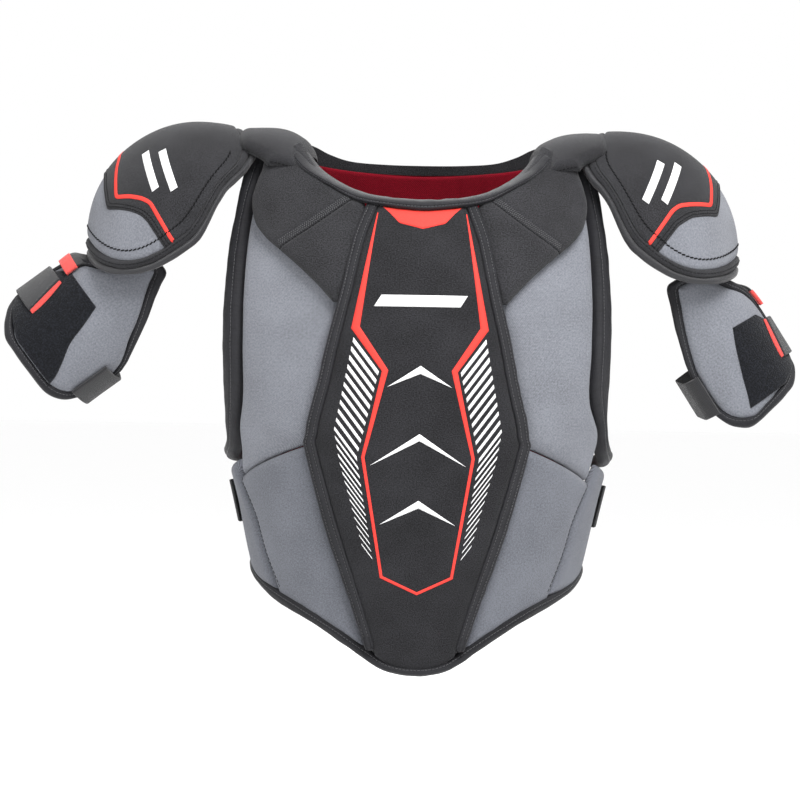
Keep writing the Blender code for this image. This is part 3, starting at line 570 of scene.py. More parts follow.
def moulded(name, colour):
    """Moulded plastic with a fine eggshell texture and faint handling marks."""
    tree, shader = shader_material(name, 0.4)
    place = node(tree, "TexCoord").outputs["Object"]
    marks = speckle(tree, place, 0.02, 5.0)
    shade(tree, shader, colour, 0.8, 1.3, marks)
    spread = node(tree, "MapRange", {"Value": marks, "To Min": 0.34, "To Max": 0.5})
    tree.links.new(spread.outputs[0], shader.inputs["Roughness"])
    bump(tree, shader, speckle(tree, place, 0.0008), 0.00008)


def make_materials():
    flat = dict(cross=False, sheen=0.1)
    black = dict(depth=0.0004, sheen=0.08, grain=0.001, specular=0.16, woven=0.2)
    twill = dict(flat, grain=0.0016, specular=0.2)
    band = dict(flat, angle=20.0)
    thread = dict(pitch=0.0006, contrast=0.3, depth=0.00008, angle=60.0)
    fabric("black_fabric", (0.018, 0.018, 0.0205), 0.0013, 0.95, **black)
    fabric("plate_fabric", (0.0135, 0.0135, 0.0155), 0.0013, 0.85,
           **dict(black, depth=0.0003, sheen=0.05))
    fabric("grey_twill", (0.13, 0.136, 0.154), 0.0019, 0.42, 0.00025, **twill)
    # Darker copy of the grey twill: painted shade for the belly and side panels, which face down and
    # away from the top light
    fabric("grey_twill_painted_shade", (0.096, 0.101, 0.117), 0.0019, 0.42, 0.00025, **twill)
    fabric("satin_tape", (0.008, 0.008, 0.01), 0.0012, 0.6, 0.00014, roughness=0.6,
           specular=0.2, **dict(band, sheen=0.04))
    fabric("piping", (0.0095, 0.0095, 0.0115), 0.0012, 0.45, 0.00014, roughness=0.45,
           specular=0.35, **band)
    fabric("red_lining", (0.15, 0.0012, 0.008), 0.0022, 0.4, 0.0003, roughness=0.8, sheen=0.0,
           specular=0.1)
    fabric("coral_print", (0.6, 0.038, 0.029), 0.0017, 0.12, 0.0001, roughness=0.6, sheen=0.0,
           specular=0.15)
    fabric("coral_web", (0.6, 0.05, 0.042), 0.0014, 0.3, 0.0003, angle=0.0, roughness=0.6,
           sheen=0.1)
    fabric("white_print", (0.62, 0.62, 0.62), 0.0017, 0.1, 0.0001, roughness=0.5, sheen=0.0)
    fabric("thread", (0.004, 0.004, 0.0045), roughness=0.7, sheen=0.0, specular=0.1, **thread)
    fabric("thread_light", (0.042, 0.042, 0.046), roughness=0.45, **thread)
    fabric("foam", (0.06, 0.06, 0.063), 0.003, 0.4, 0.0003, roughness=0.9)
    webbing("elastic", (0.008, 0.008, 0.0095), 0.0022, along=False)
    webbing("elastic_side", (0.008, 0.008, 0.0095), 0.0022)
    pile("loop_pile", (0.0026, 0.0029, 0.004))
    moulded("plastic", (0.022, 0.022, 0.024))


# ---------------------------------------------------------------- pieces

# Slot of each material, where a piece names no other.
SLOTS = {"black_fabric": "black_fabric", "plate_fabric": "plate_black", "grey_twill": "grey_fabric",
         # The darker grey copy below is the grey twill with painted shade; it shares the grey fabric
         # slot
         "grey_twill_painted_shade": "grey_fabric", "satin_tape": "satin_tape", "piping": "satin_tape",
         "red_lining": "red_lining", "coral_print": "coral_tab", "coral_web": "coral_tab",
         "thread": "black_fabric", "thread_light": "black_fabric", "foam": "foam",
         "elastic": "elastic", "elastic_side": "elastic", "loop_pile": "loop_pile",
         "plastic": "plastic"}


def add_object(name, data):
    made = bpy.data.objects.new(name, data)
    bpy.context.scene.collection.objects.link(made)
    return made


def finish_piece(name, vertices, faces, uv, body, material, slot=None, replaces=(), fill=None):
    """A closed mesh that rides on a body.  uv has one pair for each face corner."""
    faces = [tuple(face) for face in faces]
    fans = [(face[0], face[k], face[k + 1]) for face in faces for k in range(1, len(face) - 1)]
    a, b, c = vertices[np.array(fans).T]
    if np.einsum("ij,ij->", a, np.cross(b, c)) < 0:
        starts = np.cumsum([0] + [len(face) for face in faces])
        uv = np.concatenate([uv[i:j][::-1] for i, j in zip(starts, starts[1:])])
        faces = [face[::-1] for face in faces]
    mesh = bpy.data.meshes.new(name)
    mesh.from_pydata(vertices.tolist(), [], faces)
    layer = mesh.uv_layers.new(name="weave")
    layer.data.foreach_set("uv", np.ascontiguousarray(uv, np.float32).ravel())
    mesh.shade_smooth()
    made = add_object(name, mesh)
    mesh.materials.append(MATERIALS[material])
    slot = slot or SLOTS.get(material)
    if body is not None:
        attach(made, body)
    if replaces:
        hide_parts(*([replaces] if isinstance(replaces, str) else replaces))
    return made


def quads(rows, cols, wrap_rows=False, wrap_cols=False):
    """Quads of a grid as vertex indices, and the same as indices into a table one larger."""
    r, c = np.meshgrid(np.arange(rows - 1 + wrap_rows), np.arange(cols - 1 + wrap_cols),
                       indexing="ij")
    around = ((r, c), (r, c + 1), (r + 1, c + 1), (r + 1, c))
    face = np.stack([(i % rows) * cols + j % cols for i, j in around], -1).reshape(-1, 4)
    texture = np.stack([i * (cols + 1) + j for i, j in around], -1).reshape(-1, 4)
    return face, texture


def slab(name, outer, inner, uv, **look):
    """A closed slab between two matching grids of points."""
    rows, cols = outer.shape[:2]
    face, _ = quads(rows, cols)
    count = rows * cols
    edge = rim_index(rows, cols)
    following = np.roll(edge, -1)
    sides = np.stack((edge, edge + count, following + count, following), -1)
    faces = np.concatenate((face, face[:, ::-1] + count, sides))
    vertices = np.concatenate((outer.reshape(-1, 3), inner.reshape(-1, 3)))
    thickness = np.linalg.norm(outer - inner, axis=-1).mean()
    table = np.concatenate((uv.reshape(-1, 2), uv.reshape(-1, 2) + thickness))
    return finish_piece(name, vertices, faces, table[faces.ravel()], **look)


def pad(name, grid, surface, layers, edge=0.007, lip=0.2, pucker=0.0003, sag=0.0005, grooves=(),
        seed=1, material="black_fabric", **look):
    """A stuffed panel whose face rounds down to its seam.  grooves are (line, depth, width)."""
    a, b = grid[..., 0], grid[..., 1]
    low, high = layers
    face = surface.at(a, b, np.full(a.shape, high))
    edge_line = rim(face)
    distance, which = nearest(face, edge_line)
    t = np.clip(distance / edge, 0, 1)
    rise = lip + (1 - lip) * np.sqrt(1 - (1 - t) ** 2)
    gathers = ripple(edge_line, 0.009, seed)[which] * np.exp(-distance / 0.008) * t
    change = pucker * gathers + sag * ripple(face, 0.07, seed + 50) * np.clip(distance / 0.02, 0, 1)
    for line, depth, width in grooves:
        on_line = surface.at(line[:, 0], line[:, 1], np.full(len(line), high))
        away, _ = nearest(face, on_line)
        change = change - depth * np.exp(-(away / width) ** 2) * (0.3 + 0.7 * t)
    layer = low + (high - low) * rise + math.copysign(1, high - low) * change
    uv = grid * np.array(surface.weave)
    return slab(name, surface.at(a, b, layer), surface.at(a, b, np.full(a.shape, low)), uv,
                material=material, **look)


def signed_power(value, power):
    return np.sign(value) * np.abs(value) ** power


def tape(name, outer, inner, surface, layers, closed=False, power=2.6, grooves=(), wave=0.00025,
         end=0.004, section=44, seed=1, material="satin_tape", **look):
    """A rolled band between two matching lines.  grooves are (place across, depth, width)."""
    angle = np.linspace(0, 2 * np.pi, section, endpoint=False)
    across = 0.5 - 0.5 * signed_power(np.cos(angle), 2 / power)
    height = 0.5 + 0.5 * signed_power(np.sin(angle), 2 / power)
    thickness = np.asarray(layers[1]) - layers[0]
    for place, depth, width in grooves:
        height -= depth / thickness.mean() * np.exp(-((across - place) / width) ** 2) * (
            np.sin(angle) > 0)
    lines = outer[:, None] * (1 - across)[None, :, None] + inner[:, None] * across[None, :, None]
    layer = layers[0] + np.broadcast_to(thickness, len(outer))[:, None] * height[None, :]
    rings = surface.at(lines[..., 0], lines[..., 1], layer)
    uneven = ripple(rings, 0.016, seed)[..., None] * wave
    centre = rings.mean(1, keepdims=True)
    spokes = rings - centre
    rings = rings + spokes / np.maximum(np.linalg.norm(spokes, axis=-1, keepdims=True), 1e-6) * uneven
    along = lengths(centre[:, 0])
    if not closed:
        room = np.minimum(along, along[-1] - along) / end
        scale = np.sqrt(1 - (1 - np.clip(room, 0, 1)) ** 2)
        rings = centre + (rings - centre) * np.maximum(scale, 0.1)[:, None, None]
    rows = len(rings)
    face, texture = quads(rows, section, closed, True)
    first_ring = rings[0]
    girth = np.append(lengths(first_ring), 0.0)
    girth[-1] = girth[-2] + np.linalg.norm(first_ring[-1] - first_ring[0])
    length_column = np.append(along, along[-1] + np.linalg.norm(centre[-1, 0] - centre[0, 0]))
    table = np.stack(np.meshgrid(length_column, girth, indexing="ij"), -1).reshape(-1, 2)
    faces = [tuple(f) for f in face]
    uv = table[texture.ravel()]
    if not closed:
        last = (rows - 1) * section
        faces += [tuple(range(section))[::-1], tuple(range(last, last + section))]
        uv = np.concatenate((uv, np.zeros((2 * section, 2))))
    return finish_piece(name, rings.reshape(-1, 3), faces, uv, material=material, **look)


TREES = {}
LAY_REACH = (-0.004, 0.036)        # layers between which a face is looked for


def tree_of(target):
    if target.name not in TREES:
        TREES[target.name] = BVHTree.FromPolygons([v.co for v in target.data.vertices],
                                                  [p.vertices for p in target.data.polygons])
    return TREES[target.name]


def lay(targets, surface, line, lift):
    """Points over (a, b) points on the outermost of some pieces, raised by lift, and normals."""
    trees = [tree_of(target) for target in (targets if isinstance(targets, list) else [targets])]
    flat = line.reshape(-1, 2)
    foot = surface.at(flat[:, 0], flat[:, 1], np.full(len(flat), LAY_REACH[0]))
    top = surface.at(flat[:, 0], flat[:, 1], np.full(len(flat), LAY_REACH[1]))
    place, normals = [], []
    for low, high in zip(foot, top):
        way = Vector(low) - Vector(high)
        hits = [tree.ray_cast(Vector(high), way.normalized()) for tree in trees]
        hits = [hit for hit in hits if hit[0] is not None]
        if hits:
            hit, normal, _, _ = min(hits, key=lambda found: found[3])
        elif place:
            hit, normal = place[-1], normals[-1]
        else:
            hit, normal = Vector(low) - way * 0.1, -way.normalized()
        place.append(hit + normal * lift)
        normals.append(normal)
    return (np.array(place).reshape(line.shape[:-1] + (3,)),
            np.array(normals).reshape(line.shape[:-1] + (3,)))


PRINT_LIFTS = (-0.0002, 0.0003)


def applied(name, target, surface, grid, **look):
    """A thin layer of print that follows the face of another piece."""
    place, normals = lay(target, surface, grid, 0.0)
    low, high = (place + normals * lift for lift in PRINT_LIFTS)
    return slab(name, high, low, grid * np.array(surface.weave), **look)


def between(first, second, rows):
    """A grid with rows lines from one line to the other."""
    f = even(rows)[:, None, None]
    return first[None] * (1 - f) + second[None] * f


CAPSULE = [(-0.5, 0.35), (-0.4, 0.9), (0.4, 0.9), (0.5, 0.35)]  # along and across a stitch
CAPSULE_SIDES = 6
STITCH_LIFT = 0.0001


def stitches(name, target, surface, line, spacing=0.0032, length=0.0023, thick=0.00034, tilt=0.0,
             material="thread_light", **look):
    """A row of short threads along a line of (a, b) points on a piece."""
    dense = resample(line, even(max(8, 3 * len(line))))
    place, normals = lay(target, surface, dense, STITCH_LIFT)
    total = lengths(place)[-1]
    count = max(2, int(total / spacing))
    at = (np.arange(count) + 0.5) / count
    centre = resample(place, at)
    up = resample(normals, at, place)
    up /= np.linalg.norm(up, axis=1, keepdims=True)
    ahead = resample(place, np.clip(at + 0.4 / count, 0, 1)) - resample(
        place, np.clip(at - 0.4 / count, 0, 1))
    ahead /= np.linalg.norm(ahead, axis=1, keepdims=True)
    side = np.cross(up, ahead)
    ahead = ahead * math.cos(math.radians(tilt)) + side * math.sin(math.radians(tilt))
    side = np.cross(up, ahead)
    turn = np.linspace(0, 2 * np.pi, CAPSULE_SIDES, endpoint=False)
    rings = []
    for along, wide in CAPSULE:
        rings.append(centre[:, None] + ahead[:, None] * along * length
                     + (up[:, None] * np.sin(turn)[None, :, None]
                        + side[:, None] * np.cos(turn)[None, :, None]) * wide * thick)
    vertices = np.stack(rings, 1)
    face, _ = quads(len(CAPSULE), CAPSULE_SIDES, False, True)
    size = len(CAPSULE) * CAPSULE_SIDES
    faces = [tuple(f + k * size) for k in range(count) for f in face]
    for k in range(count):
        faces.append(tuple(range(k * size, k * size + CAPSULE_SIDES))[::-1])
        faces.append(tuple(range((k + 1) * size - CAPSULE_SIDES, (k + 1) * size)))
    corners_total = sum(len(f) for f in faces)
    uv = np.stack((np.linspace(0, total, corners_total), np.zeros(corners_total)), -1)
    return finish_piece(name, vertices.reshape(-1, 3), faces, uv, material=material, **look)


def edge_lines(outer, inner, side, count=170):
    """Matching lines along two outlines on one side of the torso."""
    at = even(count)
    return curve(on_torso(outer, side), at), curve(on_torso(inner, side), at)


def whole(outline, count=260):
    """A line through an outline and its mirror image, from the right side to the left."""
    given = np.concatenate((on_torso(outline, -1), on_torso(outline[:-1], 1)[::-1]))
    return curve(given, even(count))


def part_way(first, second, f, start=0.0, stop=1.0):
    """A line at a share f of the way from one line to another, cut to a stretch of its length."""
    line = first * (1 - f) + second * f
    return line[int(start * (len(line) - 1)):int(stop * (len(line) - 1)) + 1]


# ---------------------------------------------------------------- front of the vest

NECK_ROLL = (0.0005, 0.0255)       # the neck tape stands over the plate's upper edge
HEM_RISE = 0.008                   # extra thickness of the hem tape where it wraps the plate
NECK_SEAM = 0.64                   # places of seams across the tapes
TAPE_SEAM = 0.7
PLATE_SEAMS = (0.27, 0.73)


def make_front_lining():
    edge = [(0.128, -0.03), (0.15, -0.075), (0.154, -0.13), (0.154, -0.2),
            (0.15, -0.27), (0.132, -0.335), (0.116, -0.384)]
    channels = [(between(on_front(x, np.array([-0.04])), on_front(x, np.array([-0.42])), 90)[:, 0],
                 0.0012, 0.003) for x in (-0.11, -0.072, -0.034, 0.0, 0.034, 0.072, 0.11)]
    pad("front_lining", full_patch(edge, 70, 80, (-0.036, -0.046)), TORSO, LINER[::-1], edge=0.006,
        lip=0.3, grooves=channels, sag=0.0002, body=FRONT, material="red_lining",
        replaces="front_liner", fill=0.4)


def make_plate():
    foam_edge = shift(PLATE_OUTER[:1], -0.001, -0.006) + shift(PLATE_OUTER[1:], -0.001, 0.0)
    pad("sternum_core", full_patch(foam_edge, 40, 30, (-0.003, -0.0145)), TORSO, BASE_PAD,
        edge=0.004, body=FRONT, material="foam", replaces="sternum_foam", fill=0.9)
    cover_edge = shift(PLATE_INNER, 0.0006, 0.0)
    cover_edge[0] = (cover_edge[0][0], -0.052)
    cover_edge[-1] = (cover_edge[-1][0], -0.443)
    plate = pad("sternum_plate", full_patch(cover_edge, 190, 100, (-0.003, -0.0135)), TORSO,
                PLATE_COVER, edge=0.009, lip=0.1, pucker=0.0002, sag=0.00025, body=FRONT,
                material="plate_fabric", replaces="sternum_plate_cover", fill=0.8)
    grooves = [(f, 0.0012, 0.06) for f in PLATE_SEAMS] + [(0.5, 0.0004, 0.1)]
    for name, side in SIDES:
        outer, inner = edge_lines(PLATE_OUTER, PLATE_INNER, side, 220)
        binding = tape(f"{name}_plate_tape", outer, inner, TORSO, PLATE_TAPE, power=3.0,
                       grooves=grooves, seed=20 + side, body=FRONT, replaces="sternum_plate_binding")
        for k, place in enumerate(PLATE_SEAMS):
            stitches(f"{name}_plate_stitches_{k}", binding, TORSO,
                     part_way(outer, inner, place, 0.02, 0.98), spacing=0.003, length=0.0019,
                     body=FRONT)
    return plate


def bound_edge(name, outer, inner, layers, seed, body, replaces, start, stop=0.98, spacing=0.0032):
    """A folded tape over a raw edge of the vest, with its row of stitches."""
    binding = tape(f"{name}_tape", outer, inner, TORSO, layers, power=2.4,
                   grooves=[(TAPE_SEAM, 0.001, 0.07)], seed=seed, body=body,
                   replaces=replaces)
    stitches(f"{name}_stitches", binding, TORSO, part_way(outer, inner, TAPE_SEAM, start, stop),
             spacing=spacing, body=body)


def make_edge_tapes():
    top, bottom = whole(NECK_TOP), whole(NECK_BOTTOM)
    neck = tape("neck_tape", top, bottom, TORSO, NECK_ROLL, power=2.3,
                grooves=[(NECK_SEAM, 0.0012, 0.07)], wave=0.0003, section=56, seed=31, body=FRONT,
                replaces="front_neck_binding")
    stitches("neck_stitches", neck, TORSO, part_way(top, bottom, NECK_SEAM, 0.03, 0.97),
             spacing=0.003, length=0.0021, body=FRONT)
    outer, inner = whole(HEM_OUTER[::-1], 300), whole(HEM_INNER[::-1], 300)
    middle = np.exp(-(outer[:, 0] / 0.32) ** 4)
    bound_edge("hem", outer, inner, (TAPE[0], TAPE[1] + HEM_RISE * middle), 32, FRONT,
               "front_hem_binding", 0.02)
    for name, side in SIDES:
        bound_edge(f"{name}_armhole", *edge_lines(ARMHOLE_OUTER, ARMHOLE_INNER, side, 260), TAPE,
                   33 + side, FRONT, f"{name}_armhole_binding", 0.06)


CHEST_INNER = ([(0.05, -0.054)] + shift(PLATE_OUTER[1:6], 0.0002, 0.0)
               + [(0.0945, -0.26)])
CHEST_OUTER = ([(0.137, -0.023)] + shift(ARMHOLE_INNER[1:7], -0.0018, 0.0)
               + [("turn", 64.8, -0.2565), (0.1558, -0.2902)])
BELLY_INNER = [(0.0945, -0.2612), (0.0922, -0.272), (0.0726, -0.345), (0.0415, -0.4425)]
BELLY_OUTER = shift(SIDE_SEAM[:-1], -0.0003, -0.0003) + [(0.1205, -0.396)]
WING_FRONT = [("turn", 72, -0.2765)] + shift(SIDE_SEAM[:-1], 0.0003, 0.0) + [(0.1212, -0.392)]
WING_BACK = [("turn", 106, z) for z in (-0.2835, -0.31, -0.335, -0.363)]
# CAD pad, outlines, rows and columns, bow, soft edge, sag, seed and fabric of each base panel.
FRONT_PANELS = {
    "chest_panel": ("chest_pad", CHEST_INNER, CHEST_OUTER, (130, 80), (0.006, 0.0), 0.012, 0.0007,
                    40, "grey_twill"),
    # The belly and side panels take the darker grey twill copy, painted shade for their
    # downward-facing faces
    "belly_panel": ("belly_pad", BELLY_INNER, BELLY_OUTER, (100, 70), (0.0, 0.004), 0.01, 0.0006,
                    44, "grey_twill_painted_shade"),
    "wing_panel": ("side_wing", WING_FRONT, WING_BACK, (80, 60), (-0.002, -0.005), 0.009, 0.0006,
                   48, "grey_twill_painted_shade")}


def make_front_pads():
    for name, side in SIDES:
        made = {}
        for piece, (cad, inner, outer, size, bow, edge, sag, seed, cloth) in FRONT_PANELS.items():
            made[piece] = pad(f"{name}_{piece}", half_patch(inner, outer, side, *size, bow), TORSO,
                              BASE_PAD, edge=edge, lip=0.12, pucker=0.0004, sag=sag,
                              seed=seed + side, body=FRONT, material=cloth,
                              replaces=f"{name}_{cad}", fill=0.7)
        seam_line = curve(on_torso(shift(SIDE_SEAM, -0.0035, 0.0), side), even(60))
        stitches(f"{name}_side_stitches", made["belly_panel"], TORSO, seam_line, spacing=0.0042,
                 length=0.0029, thick=0.0004, body=FRONT, material="thread")
        make_clavicle_pads(name, side)


def make_clavicle_pads(name, side):
    """One long pad in two parts, divided by a stitched seam; it runs up under the bridging pad."""
    seam = curve(on_torso(CLAVICLE_SEAM, side), even(90))
    above = [seam + np.array((0.0, rise)) for rise in (0.0, 0.0023, 0.0044, 0.0065)]
    made = pad(f"{name}_clavicle", half_patch(CLAVICLE_INNER, CLAVICLE_OUTER, side, 190, 90), TORSO,
               CLAVICLE_PAD, edge=0.01, lip=0.05, pucker=0.0004, seed=52 + side,
               grooves=[(above[0], 0.0014, 0.0013), (above[2], 0.0007, 0.004)], body=FRONT,
               replaces=(f"{name}_upper_clavicle_pad", f"{name}_lower_clavicle_pad"), fill=0.7)
    stitches(f"{name}_clavicle_seam", made, TORSO, above[0][3:-3], spacing=0.003, length=0.0022,
             thick=0.0005, body=FRONT, material="thread")
    for k, line in enumerate(above[1:]):
        stitches(f"{name}_clavicle_rows_{k}", made, TORSO, line[6:-6], spacing=0.0019,
                 length=0.0015, thick=0.00028, tilt=70, body=FRONT)


# ---------------------------------------------------------------- print on the plate

OUTLINE = [(0.037, -0.06), (0.053, -0.1605), (0.0285, -0.1972), (0.045, -0.2715),
           (0.0285, -0.3742), (0.0, -0.388)]
OUTLINE_WIDTHS = [0.0008, 0.0066, 0.0048, 0.0026, 0.0023, 0.0023]
# Each white chevron: half span, height of its ends, and of the top and bottom of its point.
CHEVRONS = [(0.0261, -0.2106, -0.1925, -0.1994), (0.0387, -0.2781, -0.2509, -0.2569),
            (0.0305, -0.3288, -0.308, -0.3145)]
SLASH_EDGE = [(-0.1689, 0.0545), (-0.214, 0.0625), (-0.248, 0.0688), (-0.2745, 0.0642),
              (-0.315, 0.053), (-0.368, 0.039)]     # outer ends of the slashes: height, x
SLASH_COUNT = 24
SLASH_RANGE = (-0.1689, -0.3456)
SLASH_WAY = (-0.587, -0.81)        # inward and down
SLASH_WIDTHS = (0.0023, 0.0008)    # first and last
SLASH_ROOM = 0.005                 # clear of the outline's middle


def mitred(given, widths, step=0.002):
    """Both edges of a stripe along a polyline with sharp corners."""
    given, widths = np.array(given, float), np.array(widths)
    way = np.diff(given, axis=0)
    way /= np.linalg.norm(way, axis=1, keepdims=True)
    normal = np.stack((-way[:, 1], way[:, 0]), -1)
    before = np.concatenate((normal[:1], normal))
    after = np.concatenate((normal, normal[-1:]))
    join = before + after
    join /= np.linalg.norm(join, axis=1, keepdims=True)
    reach = widths / 2 / np.clip((join * before).sum(1), 0.4, 1)
    s = lengths(given)
    at = np.unique(np.concatenate((s, np.arange(0, s[-1], step))))
    edges = [given + join * (sign * reach)[:, None] for sign in (1, -1)]
    return [np.stack([np.interp(at, s, column) for column in edge.T], -1) for edge in edges]


def front_print(name, plate, first, second, material="white_print", rows=4):
    """Print between two matching (x, z) lines on the plate."""
    grid = between(first, second, rows)
    applied(name, plate, TORSO, on_front(grid[..., 0], grid[..., 1]), body=FRONT, material=material)


def make_prints(plate):
    line = [(-x, z) for x, z in OUTLINE[:-1]] + OUTLINE[::-1]
    widths = OUTLINE_WIDTHS[:-1] + OUTLINE_WIDTHS[::-1]
    front_print("plate_outline", plate, *mitred(line, widths), "coral_print")
    top = corners([(-0.033, -0.0545), (0.0, -0.0575), (0.033, -0.0545)])
    low = [(-0.027, -0.06), (-0.019, -0.069), (0.0, -0.074), (0.019, -0.069),
           (0.027, -0.06)]
    front_print("plate_throat_patch", plate, top, resample(corners(low), even(len(top))),
                "coral_print", rows=8)
    for k, (half, ends, upper, lower) in enumerate(CHEVRONS):
        first = corners([(-half, ends), (0, upper), (half, ends)])
        second = corners([(-half, ends - 0.0002), (0, lower), (half, ends - 0.0002)])
        at = even(len(first))
        front_print(f"plate_chevron_{k}", plate, resample(first, at), resample(second, at))
    front_print("plate_bar", plate, corners([(-0.0325, -0.132), (0.0385, -0.132)]),
                corners([(-0.0385, -0.142), (0.0325, -0.142)]), rows=6)
    for name, side in SIDES:
        for k in range(SLASH_COUNT):
            make_slash(f"{name}_plate_slash_{k:02d}", plate, side, k / (SLASH_COUNT - 1))


def make_slash(name, plate, side, f):
    """One slanted hatch line between the hatching's outer edge and the outline."""
    height = SLASH_RANGE[0] * (1 - f) + SLASH_RANGE[1] * f
    width = SLASH_WIDTHS[0] * (1 - f) + SLASH_WIDTHS[1] * f
    heights, edge = np.array(sorted(SLASH_EDGE)).T
    line_heights, line_x = np.array(sorted((z, x) for x, z in OUTLINE)).T
    lines = []
    for start in (height, height - width / -SLASH_WAY[0]):
        x = np.interp(start, heights, edge)
        t = np.linspace(0, 0.06, 241)
        inside = x + SLASH_WAY[0] * t - np.interp(start + SLASH_WAY[1] * t, line_heights, line_x)
        stop = t[np.argmax(inside < SLASH_ROOM)]
        run = even(12) * stop
        lines.append(np.stack((side * (x + SLASH_WAY[0] * run), start + SLASH_WAY[1] * run), -1))
    front_print(name, plate, *lines, rows=3)


# ---------------------------------------------------------------- shoulders and back

BRIDGE_LAYER = (0.0084, 0.02)
# Edges of the bridging pad beside the neck and beside the cap: across, degrees front to back.
BRIDGE_INNER = [(0.1075, -80), (0.1075, -64), (0.1045, -46), (0.0985, -15), (0.0955, 10),
                (0.0965, 40), (0.105, 64)]
BRIDGE_OUTER = [(0.1375, -82), (0.142, -73), (0.1525, -62), (0.1625, -48), (0.1655, -20),
                (0.164, 10), (0.152, 45), (0.136, 64)]
BRIDGE_FLAT_X = 0.122              # the pad slopes down from here towards the neck
BRIDGE_EASE = 0.007
BRIDGE_SLOPE = 0.55
BRIDGE_CURVE = 2.0


def bridge_surface(side):
    """The arch, with its inner side sloping down to the neck."""
    base = arch(side)

    def at(across, turn, layer):
        inward = BRIDGE_EASE * np.logaddexp(0.0, (BRIDGE_FLAT_X - across) / BRIDGE_EASE)
        drop = BRIDGE_SLOPE * inward + BRIDGE_CURVE * inward ** 2
        return base.at(across, turn, layer) - points(0.0, 0.0, drop)
    return Surface(at, base.weave)


def make_shoulder_tops():
    for name, side in SIDES:
        make_rest(name, *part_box(f"{name}_shoulder_rest"))
        surface = bridge_surface(side)
        top = pad(f"{name}_bridge", patch(degrees(BRIDGE_INNER), degrees(BRIDGE_OUTER), 140, 100),
                  surface, BRIDGE_LAYER, edge=0.011, lip=0.08, pucker=0.0005, sag=0.0008,
                  seed=70 + side, body=None, replaces=f"{name}_bridging_pad", fill=0.7)
        row = curve(degrees([(0.1095, -76.5), (0.122, -78.5), (0.135, -78)]), even(24))
        stitches(f"{name}_bridge_stitches", top, surface, row, spacing=0.003, length=0.0021,
                 thick=0.0005, body=HARNESS, material="thread")
        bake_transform(top)
        turns = np.radians(np.linspace(-74, 74, 90))
        edges = [np.stack((np.full(90, across), turns), -1) for across in (0.115, 0.099)]
        tape(f"{name}_shoulder_facing", *edges, surface, (-0.003, 0.0078), wave=0.0003,
             seed=76 + side, body=HARNESS, material="black_fabric")


def make_rest(name, low, high):
    """The small pad under the yoke that sits on the shoulder, flat underneath."""
    x, y = np.meshgrid(clustered(24) * (high.x - low.x) + low.x,
                       clustered(24) * (high.y - low.y) + low.y, indexing="ij")
    edge = np.minimum(np.minimum(x - low.x, high.x - x), np.minimum(y - low.y, high.y - y))
    t = np.clip(edge / 0.003, 0, 1)
    z = low.z + (high.z - low.z) * (0.35 + 0.65 * np.sqrt(1 - (1 - t) ** 2))
    slab(f"{name}_rest", points(x, y, z), points(x, y, np.full_like(x, low.z)),
         np.stack((x, y), -1), body=HARNESS, material="black_fabric", slot="foam",
         replaces=f"{name}_shoulder_rest", fill=0.8)


def back_line(degrees_from, heights, side=1, count=80):
    """A line down the back, from degrees off its centre and heights."""
    return curve(on_torso([("back", d, z) for d, z in zip(degrees_from, heights)], side),
                 even(count))


